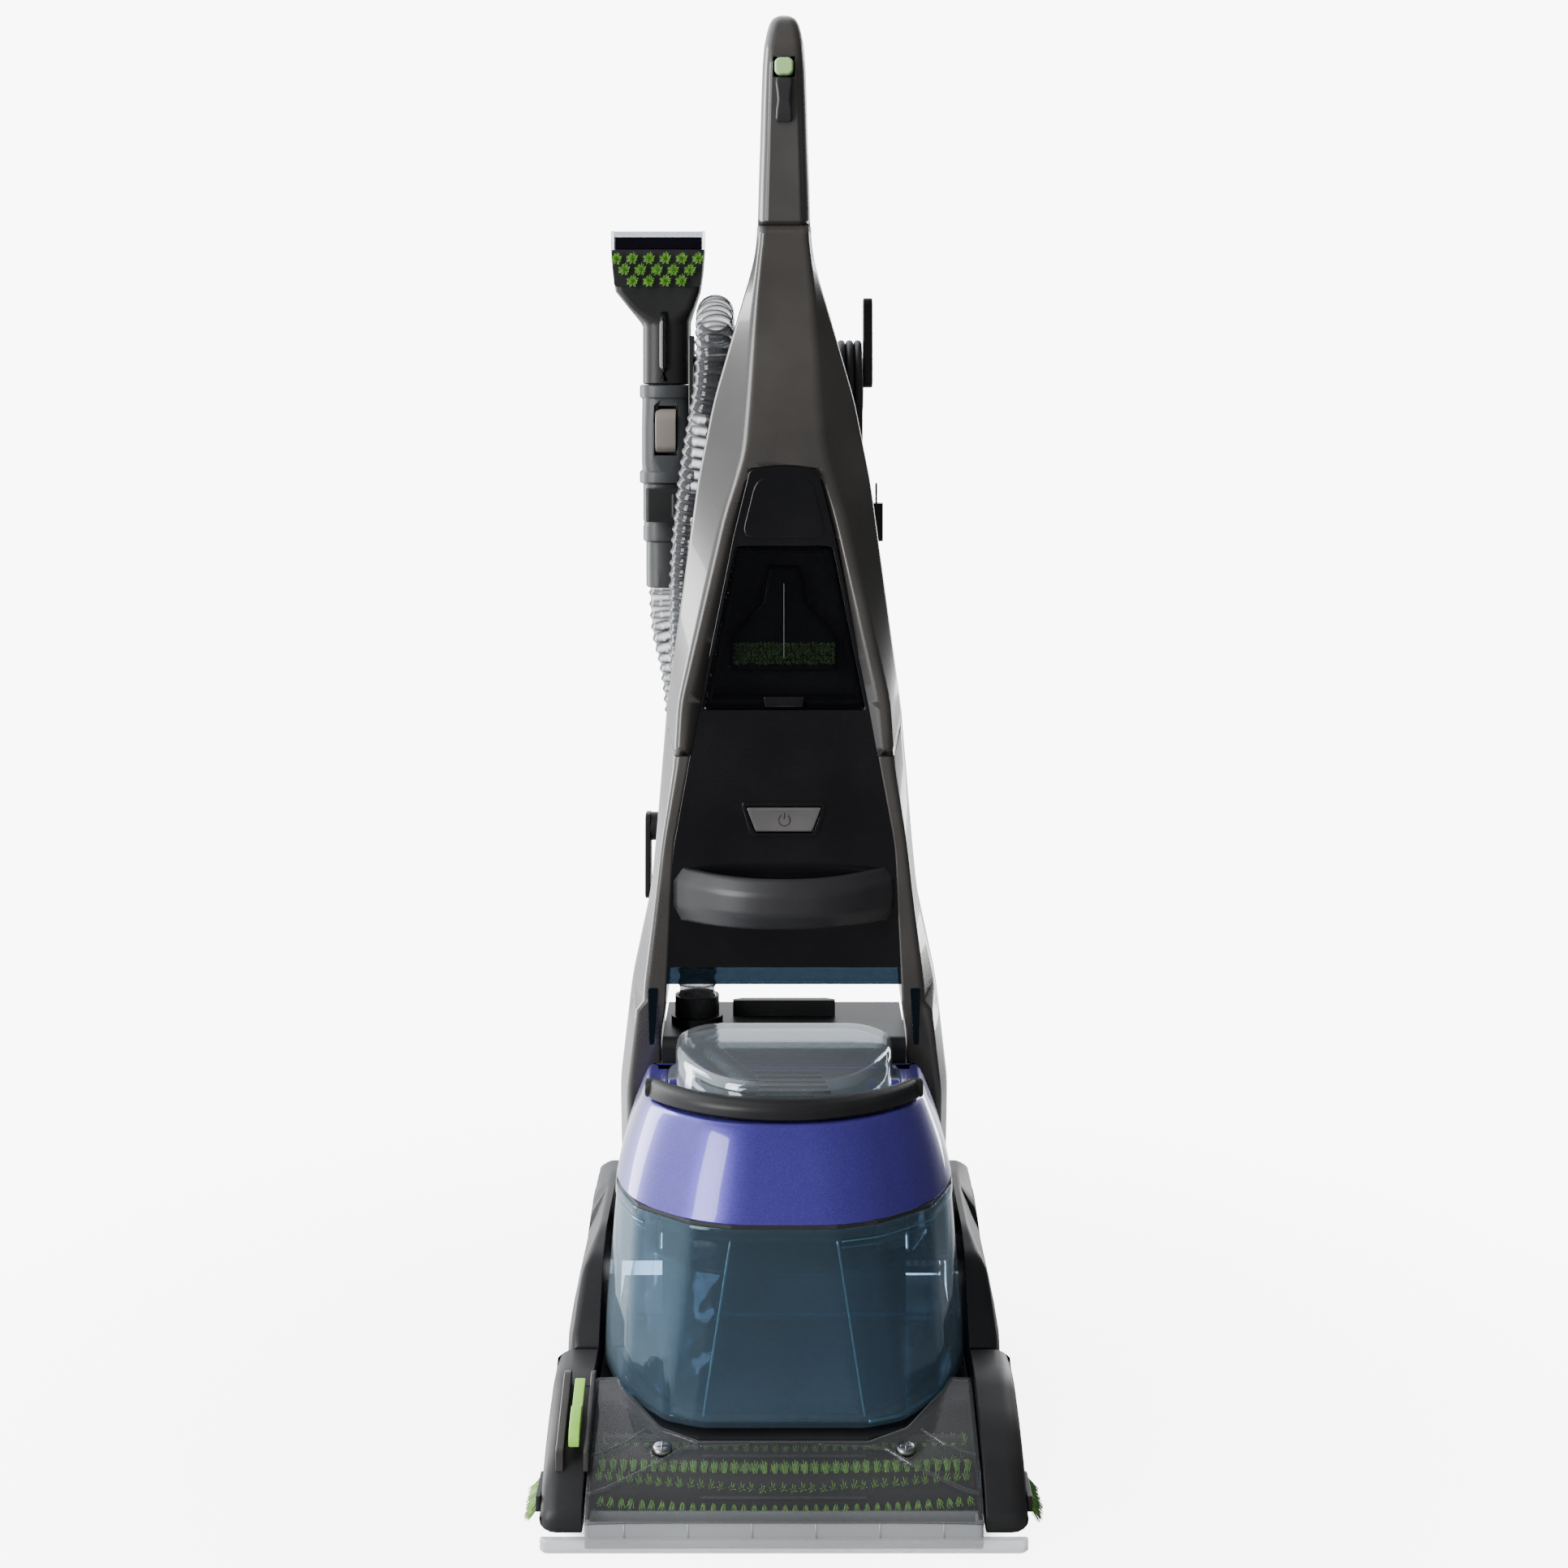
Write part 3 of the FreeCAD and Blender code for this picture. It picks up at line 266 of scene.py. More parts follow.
# %% Moulded plastics, rubber and metal
def plastic(name, colour, roughness, grain=0.35, grain_size=900.0, coat=0.0, gleam=0.5):
    """Moulded plastic; gleam is how strongly the bare surface mirrors, and coat lays a lacquer over it."""
    f = Finish(name)
    patches = f.noise(14.0, 3.0)
    fine = f.noise(grain_size, 1.0)
    paler = tuple(min(1.0, 1.35 * c + 0.002) for c in colour)
    shade = f.mix(patches.clear_of(0.35, 0.75), colour, paler)
    rough = (roughness - 0.04) + 0.08 * patches + 0.04 * fine
    shader = f.surface(shade, rough, Normal=f.bump(fine, grain, 0.00004))
    shader.inputs["Specular IOR Level"].default_value = gleam
    if coat:
        shader.inputs["Coat Weight"].default_value = coat
        shader.inputs["Coat Roughness"].default_value = 0.04
    return f.done(shader)


def brushed(name, colour, roughness):
    f = Finish(name)
    lines = f.noise(60.0, 2.0, stretch=(1.0, 40.0, 40.0))
    return f.done(f.surface(f.mix(lines, tuple(c * 0.7 for c in colour), colour), roughness + 0.15 * lines,
                            Metallic=1.0, Normal=f.bump(lines, 0.1, 0.00005)))


GUNMETAL = plastic("gunmetal", (0.029, 0.027, 0.025), 0.27, grain=0.25, coat=0.35)
GUNMETAL_STRIP = plastic("gunmetal_strip", (0.030, 0.029, 0.028), 0.36, grain=0.35)
GLOSS_BLACK = plastic("gloss_black", (0.003, 0.003, 0.0035), 0.09, grain=0.05, coat=0.6)
SATIN_BLACK = plastic("satin_black", (0.014, 0.014, 0.015), 0.36, grain=0.9, grain_size=1500.0)
BLACK = plastic("black_plastic", (0.008, 0.008, 0.0085), 0.40, grain=0.6, gleam=0.3)
CHARCOAL = plastic("charcoal", (0.022, 0.021, 0.020), 0.34, grain=0.6, gleam=0.4)
WAND_BLACK = plastic("wand_black", (0.022, 0.024, 0.026), 0.42, grain=0.7)
WAND_GREY = plastic("wand_trigger_grey", (0.115, 0.105, 0.092), 0.38, grain=0.5)
BUTTON_GREY = plastic("button_grey", (0.052, 0.050, 0.050), 0.38, grain=0.5)
GREEN_TRIGGER = plastic("green_trigger", (0.235, 0.40, 0.16), 0.35, grain=0.4)
GREEN_LEVER = plastic("green_lever", (0.19, 0.40, 0.05), 0.3, grain=0.3, coat=0.2)
RUBBER = plastic("rubber", (0.011, 0.011, 0.012), 0.6, grain=0.8)
CORD_BLACK = plastic("cord_black", (0.010, 0.010, 0.011), 0.45, grain=0.5)
MOTOR = plastic("motor_casing", (0.04, 0.04, 0.042), 0.5)
FLOAT_WHITE = plastic("float_white", (0.6, 0.6, 0.58), 0.45)
VIOLET_BLACK = plastic("violet_black", (0.018, 0.010, 0.024), 0.2)
SYMBOL_GREY = plastic("symbol_grey", (0.02, 0.02, 0.02), 0.5)
STEEL = brushed("turned_steel", (0.5, 0.5, 0.51), 0.25)


def pearl(name):
    """Pearl paint: a half-metallic purple with fine flake, under a clear coat."""
    f = Finish(name)
    flake = f.noise(2600.0, 0.0)
    body = f.mix(f.noise(12.0, 2.0), (0.060, 0.046, 0.30), (0.040, 0.028, 0.23))
    colour = f.mix(0.25 * flake.clear_of(0.55, 0.8), body, (0.30, 0.27, 0.70))
    shader = f.surface(colour, 0.30 + 0.08 * f.noise(20.0), Metallic=0.62, Normal=f.bump(flake, 0.06, 0.00003))
    shader.inputs["Coat Weight"].default_value = 0.8
    shader.inputs["Coat Roughness"].default_value = 0.05
    return f.done(shader)


PURPLE = pearl("purple_pearl")


def bristle(name, root, tip):
    f = Finish(name)
    shade = f.noise(400.0, 1.0)
    return f.done(f.surface(f.mix(shade.clear_of(0.3, 0.7), root, tip), 0.45 + 0.1 * shade))


BRISTLE = bristle("green_bristle", (0.09, 0.24, 0.03), (0.25, 0.55, 0.08))
# The next two are the same green bristle as painted light and painted shade: a paler copy for bristles that are lit
# from the left or sit in dim light, and a darker copy for bristles on the shaded right.
BRISTLE_PAINTED_LIT = bristle("pale_bristle", (0.22, 0.42, 0.10), (0.42, 0.62, 0.25))
BRISTLE_PAINTED_SHADE = bristle("dark_bristle", (0.03, 0.09, 0.02), (0.07, 0.18, 0.03))

# %% [markdown]
# ## Clear plastics
# A thin clear wall is mostly a tinted window with a gloss on it, and turns solid looking at its edges. A Mix Shader
# says just that: a tinted Transparent shader, covered by a glossy surface by an amount that grows towards the rim.

# %% Clear walls
def clear(name, tint, body, edge, cover, rim=0.9, roughness=0.06, waves=0.0, streaks=0.0, shine=0.6):
    """tint colours what is seen through; the wall's own colour drifts in clouds from body to edge."""
    f = Finish(name)
    facing = f.sock(f.node("ShaderNodeLayerWeight", None, Blend=0.5), "Facing")
    swirl = f.noise(9.0, 2.0, stretch=(1.0, 1.0, 0.6))
    amount = cover + (rim - cover) * facing ** 3.0 + streaks * swirl.clear_of(0.5, 0.8)
    window = f.node("ShaderNodeBsdfTransparent", None, Color=tint)
    cloudy = f.mix(swirl, body, edge)
    gloss = f.surface(cloudy, roughness + 0.03 * swirl, Metallic=shine, Normal=f.bump(swirl, waves, 0.002))
    return f.glazed(amount, window, gloss)


TANK_CLEAR = clear("tank_clear", (0.76, 0.84, 0.91), (0.30, 0.39, 0.45), (0.16, 0.25, 0.31), 0.12, roughness=0.03,
                   waves=0.1)
# The tank's corner and rim lines: their lighter, more opaque teal is partly the thicker moulded ridges and partly a
# painted highlight for the light lines that the edges catch.
TANK_EDGE_PAINTED_HIGHLIGHT = clear("tank_edge", (0.50, 0.70, 0.80), (0.22, 0.40, 0.48), (0.08, 0.20, 0.26), 0.55, rim=0.95)
BLADDER_CLEAR = clear("bladder_film", (0.80, 0.87, 0.94), (0.24, 0.34, 0.44), (0.08, 0.14, 0.20), 0.10, rim=0.55,
                      roughness=0.10, waves=1.0, streaks=0.3)
HOOD_CLEAR = clear("hood_clear", (0.86, 0.87, 0.88), (0.40, 0.40, 0.41), (0.22, 0.22, 0.225), 0.10, roughness=0.04)
NOZZLE_CLEAR = clear("nozzle_clear", (0.80, 0.81, 0.82), (0.50, 0.51, 0.52), (0.36, 0.365, 0.37), 0.62, rim=0.95,
                     roughness=0.16, shine=0.35)
LID_CLEAR = clear("lid_clear", (0.84, 0.90, 0.93), (0.66, 0.69, 0.71), (0.54, 0.57, 0.60), 0.24, rim=0.62,
                  roughness=0.05, shine=0.8)
COVER_SMOKED = clear("cover_smoked", (0.66, 0.67, 0.70), (0.03, 0.03, 0.035), (0.006, 0.006, 0.007), 0.14,
                     roughness=0.03)
BAND_SMOKED = clear("band_smoked", (0.10, 0.135, 0.17), (0.02, 0.035, 0.05), (0.006, 0.012, 0.02), 0.45, rim=0.95)
print(len(bpy.data.materials), "finishes")

# %% [markdown]
# ## From outlines to solids
# Nearly every shell here is a loft: the same outline, with its corners rounded, taken at a row of heights. The helpers
# below round an outline, join a row of outlines into a closed skin, and hand the piece to its body.

# %% Outline and loft helpers
def rounded(points, radius, steps=5):
    """A closed outline with every corner rounded, and always the same number of points."""
    points = [np.array(p, float) for p in points]
    count = len(points)
    radii = radius if hasattr(radius, "__len__") else [radius] * count
    out = []
    for i, p in enumerate(points):
        back, ahead = points[i - 1] - p, points[(i + 1) % count] - p
        back_length, ahead_length = np.linalg.norm(back), np.linalg.norm(ahead)
        reach = min(radii[i], 0.46 * back_length, 0.46 * ahead_length)
        start, end = p + back / back_length * reach, p + ahead / ahead_length * reach
        for k in range(steps + 1):
            t = k / steps
            out.append((1 - t) ** 2 * start + 2 * t * (1 - t) * p + t * t * end)
    return np.array(out)


def drawn_in(line, draw):
    """An outline moved inwards along its own normals."""
    along = np.roll(line, -1, axis=0) - np.roll(line, 1, axis=0)
    area = np.sum(line[:, 0] * np.roll(line[:, 1], -1) - np.roll(line[:, 0], -1) * line[:, 1])
    inward = np.sign(area) * np.stack([-along[:, 1], along[:, 0]], 1) / np.linalg.norm(along, axis=1)[:, None]
    return line + inward * draw

def mirror(half):
    """A half outline on the right, completed on the left."""
    return list(half) + [(-x, y) for x, y in reversed(half)]


def at(table, height):
    """A table of sizes by height, read with its corners smoothed."""
    heights, values = zip(*table)
    return float(np.mean([np.interp(height + d, heights, values) for d in (-9, -4.5, 0, 4.5, 9)]))


def ring_z(outline, height):
    return [(x, y, height) for x, y in outline]


def ring_x(outline, across):
    return [(across, y, z) for y, z in outline]


def loft(rings, caps=(True, True), loop=False):
    """Vertices and faces of a skin through a row of rings with the same number of points."""
    size = len(rings[0])
    vertices = [tuple(p) for ring in rings for p in ring]
    faces = []
    pairs = [(i, i + 1) for i in range(len(rings) - 1)] + ([(len(rings) - 1, 0)] if loop else [])
    for a, b in pairs:
        for j in range(size):
            k = (j + 1) % size
            faces.append((a * size + j, a * size + k, b * size + k, b * size + j))
    if caps[0] and not loop:
        faces.append(tuple(reversed(range(size))))
    if caps[1] and not loop:
        faces.append(tuple((len(rings) - 1) * size + j for j in range(size)))
    return vertices, faces


def joined(*parts):
    vertices, faces = [], []
    for part_vertices, part_faces in parts:
        faces += [tuple(len(vertices) + i for i in face) for face in part_faces]
        vertices += part_vertices
    return vertices, faces


def lathe(profile, axis_point, axis="x", segments=48):
    """(along, radius) pairs turned about an axis through a point. Ends are closed."""
    rings = []
    cx, cy, cz = axis_point
    for along, radius in profile:
        ring = []
        for k in range(segments):
            turn = 2 * math.pi * k / segments
            a, b = radius * math.cos(turn), radius * math.sin(turn)
            ring.append({"x": (cx + along, cy + a, cz + b), "y": (cx + b, cy + along, cz + a),
                         "z": (cx + a, cy + b, cz + along)}[axis])
        rings.append(ring)
    return loft(rings)


def block(x, y, z, radius=1.5):
    """A box with rounded upright edges."""
    outline = rounded([(x[0], y[0]), (x[1], y[0]), (x[1], y[1]), (x[0], y[1])], radius, 3)
    return loft([ring_z(outline, z[0]), ring_z(outline, z[1])])


def tube(points, radius, sides=10):
    """A round bar along a polyline."""
    points = [Vector(p) for p in points]
    rings = []
    for i, p in enumerate(points):
        along = (points[min(i + 1, len(points) - 1)] - points[max(i - 1, 0)]).normalized()
        side = along.cross(Vector((0, 0, 1)))
        side = side.normalized() if side.length > 0.05 else Vector((1, 0, 0))
        up = side.cross(along)
        rings.append([tuple(p + radius * (math.cos(a) * side + math.sin(a) * up))
                      for a in (2 * math.pi * k / sides for k in range(sides))])
    return loft(rings)


def raw_mesh(name, part):
    vertices, faces = part
    mesh = bpy.data.meshes.new(name)
    mesh.from_pydata([tuple(c * MM for c in v) for v in vertices], [], faces)
    mesh.validate()
    grid = bmesh.new()
    grid.from_mesh(mesh)
    bmesh.ops.remove_doubles(grid, verts=grid.verts, dist=1e-7)
    bmesh.ops.recalc_face_normals(grid, faces=grid.faces)
    grid.to_mesh(mesh)
    grid.free()
    return mesh


def soften(obj, width, sharp):
    """A live bevel on every edge sharper than an angle."""
    soft = obj.modifiers.new("soft edges", "BEVEL")
    soft.width, soft.segments = width * MM, 2
    soft.limit_method, soft.angle_limit = "ANGLE", math.radians(sharp)

def piece(name, part, finish, body, replaces=(), bevel=0.8, sharp=38, cut_by=()):
    """A finished piece: smooth, with softened edges and its finish, riding its body."""
    obj = bpy.data.objects.new(name, raw_mesh(name, part))
    bpy.context.scene.collection.objects.link(obj)
    for cutter in cut_by:
        tool = bpy.data.objects.new("cutter", raw_mesh("cutter", cutter))
        bpy.context.scene.collection.objects.link(tool)
        difference = obj.modifiers.new("cut", "BOOLEAN")
        difference.operation, difference.solver, difference.object = "DIFFERENCE", "EXACT", tool
        settle(obj)
        bpy.data.objects.remove(tool)
    obj.data.materials.clear()
    obj.data.materials.append(finish)
    for face in obj.data.polygons:
        face.use_smooth = True
        face.material_index = 0
    if bevel:
        soften(obj, bevel, sharp)
    even = obj.modifiers.new("even shading", "WEIGHTED_NORMAL")
    even.keep_sharp = False
    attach(obj, body)
    if replaces:
        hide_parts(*replaces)
    return obj


def made_mesh(obj):
    """The mesh that an object's modifiers, or a curve's settings, make of it."""
    bpy.context.view_layer.update()
    return bpy.data.meshes.new_from_object(obj.evaluated_get(bpy.context.evaluated_depsgraph_get()))

def settle(obj):
    """Replaces an object's mesh by what its modifiers make of it."""
    mesh = made_mesh(obj)
    obj.modifiers.clear()
    obj.data = mesh


# %% [markdown]
# ## Geometry Nodes for what repeats
# Bristles, screws and ribs are one small shape set down many times. The node group takes bare points, each carrying a
# direction and a size, and sets a copy of the item on each with a seeded wobble. A second group makes a corrugated
# hose from a curve: a plain tube whose wall is pushed out wherever a ridge comes round.

# %% Node groups
class Graph:
    def __init__(self, name, sockets):
        self.group = bpy.data.node_groups.new(name, "GeometryNodeTree")
        face = self.group.interface
        face.new_socket("Geometry", in_out="INPUT", socket_type="NodeSocketGeometry")
        for title, kind in sockets:
            face.new_socket(title, in_out="INPUT", socket_type=kind)
        face.new_socket("Geometry", in_out="OUTPUT", socket_type="NodeSocketGeometry")
        self.start = self.group.nodes.new("NodeGroupInput")
        self.end = self.group.nodes.new("NodeGroupOutput")

    def node(self, kind, settings=None, inputs=None):
        made = self.group.nodes.new(kind)
        for key, value in (settings or {}).items():
            setattr(made, key, value)
        for key, value in (inputs or {}).items():
            socket = made.inputs[key]
            if isinstance(value, bpy.types.NodeSocket):
                self.group.links.new(value, socket)
            else:
                socket.default_value = value
        return made

    def maths(self, operation, a, b=0.0):
        return self.node("ShaderNodeMath", {"operation": operation}, {0: a, 1: b}).outputs[0]

    def given(self, title):
        return self.start.outputs[title]

    def finish(self, socket):
        self.group.links.new(socket, self.end.inputs[0])
        return self.group


def read_attribute(graph, name, kind):
    made = graph.node("GeometryNodeInputNamedAttribute", {"data_type": kind}, {"Name": name})
    return next(s for s in made.outputs if s.enabled and s.name == "Attribute")


g = Graph("set down copies", [("Item", "NodeSocketObject"), ("Finish", "NodeSocketMaterial"),
                              ("Wobble", "NodeSocketFloat"), ("Seed", "NodeSocketInt")])
item = g.node("GeometryNodeObjectInfo", None, {"Object": g.given("Item")})
aim = read_attribute(g, "aim", "FLOAT_VECTOR")
low = g.node("ShaderNodeVectorMath", {"operation": "SCALE"}, {0: (-1, -1, -1), "Scale": g.given("Wobble")})
high = g.node("ShaderNodeVectorMath", {"operation": "SCALE"}, {0: (1, 1, 1), "Scale": g.given("Wobble")})
shake = g.node("FunctionNodeRandomValue", {"data_type": "FLOAT_VECTOR"},
               {"Min": low.outputs[0], "Max": high.outputs[0], "Seed": g.given("Seed")})
lean = g.node("ShaderNodeVectorMath", {"operation": "ADD"}, {0: aim, 1: shake.outputs[0]})
turn = g.node("FunctionNodeAlignRotationToVector", {"axis": "Z"}, {"Vector": lean.outputs[0]})
size = read_attribute(g, "size", "FLOAT_VECTOR")
copies = g.node("GeometryNodeInstanceOnPoints", None, {"Points": g.given("Geometry"), "Scale": size,
                "Instance": item.outputs["Geometry"], "Rotation": turn.outputs[0]})
real = g.node("GeometryNodeRealizeInstances", None, {"Geometry": copies.outputs[0]})
painted = g.node("GeometryNodeSetMaterial", None, {"Geometry": real.outputs[0], "Material": g.given("Finish")})
COPIES = g.finish(painted.outputs[0])

g = Graph("corrugated tube", [("Radius", "NodeSocketFloat"), ("Ridge", "NodeSocketFloat"),
                              ("Pitch", "NodeSocketFloat"), ("Finish", "NodeSocketMaterial")])
step = g.maths("DIVIDE", g.given("Pitch"), 7.0)
fine = g.node("GeometryNodeResampleCurve", {"mode": "LENGTH"}, {"Curve": g.given("Geometry"), "Length": step})
walked = g.node("GeometryNodeSplineParameter").outputs["Length"]
turns = g.maths("MULTIPLY", g.maths("DIVIDE", walked, g.given("Pitch")), 2 * math.pi)
crest = g.maths("ADD", g.maths("MULTIPLY", g.maths("COSINE", turns), 0.5), 0.5)
kept = g.node("GeometryNodeStoreNamedAttribute", {"data_type": "FLOAT", "domain": "POINT"},
              {"Geometry": fine.outputs[0], "Name": "ridge", "Value": g.maths("POWER", crest, 2.5)})
circle = g.node("GeometryNodeCurvePrimitiveCircle", None, {"Resolution": 28, "Radius": g.given("Radius")})
skin = g.node("GeometryNodeCurveToMesh", None, {"Curve": kept.outputs[0], "Profile Curve": circle.outputs[0]})
ridge = read_attribute(g, "ridge", "FLOAT")
push = g.node("ShaderNodeVectorMath", {"operation": "SCALE"},
              {0: g.node("GeometryNodeInputNormal").outputs[0],
               "Scale": g.maths("MULTIPLY", ridge, g.given("Ridge"))})
moved = g.node("GeometryNodeSetPosition", None, {"Geometry": skin.outputs[0], "Offset": push.outputs[0]})
painted = g.node("GeometryNodeSetMaterial", None, {"Geometry": moved.outputs[0], "Material": g.given("Finish")})
CORRUGATED = g.finish(painted.outputs[0])


def run_nodes(obj, group, values):
    """Runs a node group on an object and keeps the mesh that it makes."""
    modifier = obj.modifiers.new("nodes", "NODES")
    modifier.node_group = group
    for socket in group.interface.items_tree:
        if socket.in_out == "INPUT" and socket.name in values:
            modifier[socket.identifier] = values[socket.name]
    mesh = made_mesh(obj)
    name = obj.name
    bpy.data.objects.remove(obj)
    made = bpy.data.objects.new(name, mesh)
    bpy.context.scene.collection.objects.link(made)
    return made


def scatter(name, item, spots, finish, body, wobble=0.1, seed=3, replaces=(), slot=None):
    """Copies of an item. Each spot is a place in millimetres, a direction, and a scale of one or three numbers."""
    cloud = bpy.data.meshes.new(name)
    cloud.from_pydata([tuple(c * MM for c in place) for place, _, _ in spots], [], [])
    aims = cloud.attributes.new("aim", "FLOAT_VECTOR", "POINT")
    sizes = cloud.attributes.new("size", "FLOAT_VECTOR", "POINT")
    for i, (_, aim, size) in enumerate(spots):
        aims.data[i].vector = aim
        sizes.data[i].vector = size if hasattr(size, "__len__") else (size, size, size)
    points = bpy.data.objects.new(name, cloud)
    bpy.context.scene.collection.objects.link(points)
    shape = bpy.data.objects.new(name + "_item", raw_mesh(name + "_item", item))
    bpy.context.scene.collection.objects.link(shape)
    made = run_nodes(points, COPIES, {"Item": shape, "Finish": finish, "Wobble": wobble, "Seed": seed})
    bpy.data.objects.remove(shape)
    for face in made.data.polygons:
        face.use_smooth = True
    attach(made, body)
    if replaces:
        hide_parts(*replaces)
    return made


def tuft(height, spread, bristles=9, thick=0.42):
    """A small bundle of bristles that splay a little, standing on the origin."""
    rng = random.Random(5)
    parts = []
    for k in range(bristles):
        angle, out = 2.399 * k, spread * math.sqrt((k + 0.5) / bristles)
        foot = (0.55 * out * math.cos(angle), 0.55 * out * math.sin(angle), 0)
        tip = (out * 1.25 * math.cos(angle) + rng.uniform(-.3, .3), out * 1.25 * math.sin(angle) + rng.uniform(-.3, .3),
               height * rng.uniform(0.9, 1.0))
        rings = [[(c[0] + w * math.cos(a), c[1] + w * math.sin(a), c[2]) for a in (0, 2.09, 4.19)]
                 for c, w in ((foot, thick), (tip, thick * 0.6))]
        parts.append(loft(rings, caps=(False, True)))
    return joined(*parts)


print("helpers ready; tuft has", len(tuft(8, 2)[1]), "faces")

# %% [markdown]
# ## The upright's shell
# The tall front shell narrows from shoulder to neck. Its plan has a flat face, a crease where the face turns to the
# flank, and a waist at its widest. The lower edge of the shell is not level: it climbs towards the back, so each point
# of a ring is read at its own height.

# %% Upper shell, front and back
HALF_WIDTH = [(319, 123), (389, 108), (495, 98), (537, 95), (720, 70), (785, 57), (832, 43.5), (865, 34),
              (888, 27), (909, 22.6), (940, 21.5)]
FACE_HALF = [(315, 111), (430, 98), (495, 87), (545, 84), (694, 48), (720, 39), (745, 31.5), (785, 28),
             (865, 24), (940, 18)]
OPENING_HALF = [(300, 101), (315, 99), (430, 88), (495, 76), (545, 67), (678, 40), (725, 28), (740, 25)]
FACE_Y = [(319, 45), (545, 45), (729, 50), (865, 61), (926, 66)]
BACK_Y = [(516, 132), (545, 132), (720, 128), (832, 118), (926, 112)]
SPLIT_Y = 85.0
NECK = 925.7


def upright_plan(height):
    wide, face = at(HALF_WIDTH, height), min(at(FACE_HALF, height), at(HALF_WIDTH, height) - 3)
    front, back = at(FACE_Y, height), at(BACK_Y, height)
    return wide, face, front, back, front + 0.42 * (back - front)


def front_outline(height):
    wide, face, front, back, waist = upright_plan(height)
    return rounded(mirror([(face, front), (wide, min(waist, 78)), (wide, SPLIT_Y - 0.15)]), [5, 9, 0.8, 0.8, 9, 5])


def back_outline(height):
    wide, face, front, back, waist = upright_plan(height)
    return rounded(mirror([(wide, SPLIT_Y + 0.15), (wide, 91), (0.45 * wide + 3, back)]), [0.8, 7, 12, 12, 7, 0.8])


def seam(y):
    """The height of the joint between shell and rails, climbing towards the back."""
    t = min(1.0, max(0.0, (y - 50) / 40))
    return 502 + 34 * t * t * (3 - 2 * t)


def climbing(outline_at, start, end, count):
    """Rings between two heights that may differ round the outline."""
    rings = []
    for k in range(count):
        t = k / (count - 1)
        level = outline_at(start(70) * (1 - t) + end(70) * t)
        ring = []
        for j, (x, y) in enumerate(level):
            z = start(y) * (1 - t) + end(y) * t
            x, y = outline_at(z)[j]
            ring.append((x, y, z))
        rings.append(ring)
    return rings


def trapezoid(low, high, margin, arch=0):
    heights = [low] + [z for z, _ in OPENING_HALF if low < z < high] + [high]
    right = [(at(OPENING_HALF, z) - margin, z) for z in heights]
    top = [(right[-1][0] * math.cos(a), high + arch * math.sin(a)) for a in
           (math.pi * k / 8 for k in range(1, 8))] if arch else []
    return right + top + [(-x, z) for x, z in reversed(right)]


def prism_y(outline, start, end):
    return loft([[(x, start, z) for x, z in outline], [(x, end, z) for x, z in outline]])


window = rounded(trapezoid(480, 728.5, 0, arch=5), 3, 3)
front_shell = loft(climbing(front_outline, seam, lambda y: NECK, 60))
piece("shell_front", front_shell, GUNMETAL, "upright", ["upper_shell"], bevel=0,
      cut_by=[prism_y(window, 20, 110)])
back_shell = loft(climbing(back_outline, seam, lambda y: NECK, 40))

spine_side = rounded([(118, 404), (188, 416), (188, 800), (150, 862), (108, 862)], [4, 9, 14, 14, 4])
spine = loft([ring_x(spine_side, x) for x in (-28, -27, 27, 28)])
low_post = lathe([(10, 20), (38, 20), (39, 17), (40, 15)], (27, 176, 520))
low_blade = loft([ring_x(rounded([(165, 470), (187, 470), (187, 528), (165, 528)], 6), x) for x in (67, 71)])
shell_floor = block((-64, 64), (86, 127), (508, 540), 8)
piece("shell_back", joined(back_shell, spine, low_post, low_blade, shell_floor), CHARCOAL, "upright", ["upper_back"],
      bevel=0.9, sharp=45)

# %% [markdown]
# ## Rails, fascia and what is set in them
# Below the shell two rails carry on down to the pivots, and a polished black fascia lies between them. The fascia is a
# plate with two holes: one for the button, and one for the smoked door of the tool bin.

# %% Rails
RAIL = {"near": [(100, 103), (225, 103), (240, 98.6), (279, 98.3), (300, 94.5), (317, 93.5), (430, 88.2),
                 (495, 76.2), (545, 67.2)],
        "far": [(100, 134), (150, 135), (229, 134), (319, 123), (389, 108), (430, 104), (516, 97), (540, 95)],
        "front": [(100, 112), (150, 97), (229, 62), (300, 46), (319, 45), (540, 45)],
        "back": [(100, 158), (150, 158), (229, 138), (319, 114), (430, 106), (516, 108), (540, 108)]}


def rail_outline(side):
    def outline(height):
        near, far = at(RAIL["near"], height), at(RAIL["far"], height)
        front, back = at(RAIL["front"], height), at(RAIL["back"], height)
        face = min(at(FACE_HALF, height), far - 3) if height > 300 else far - 8
        points = [(near, front), (face, front), (far, min(front + 34, back - 12)), (far, back - 6), (near, back)]
        return rounded([(side * x, y) for x, y in points], [2.5, 5, 9, 4, 2])
    return outline


for name, side in (("left", -1), ("right", 1)):
    rail = loft(climbing(rail_outline(side), lambda y: 88.0, lambda y: seam(y) - 0.5, 56))
    hub = lathe([(side * x, r) for x, r in ((0, 24), (1, 28), (31, 28), (33, 26))],
                (side * 103, PIVOT_Y, PIVOT_Z), segments=64)
    piece(name + "_rail_shell", joined(rail, hub), GUNMETAL, "upright", [name + "_rail"], bevel=1.0,
          sharp=50)

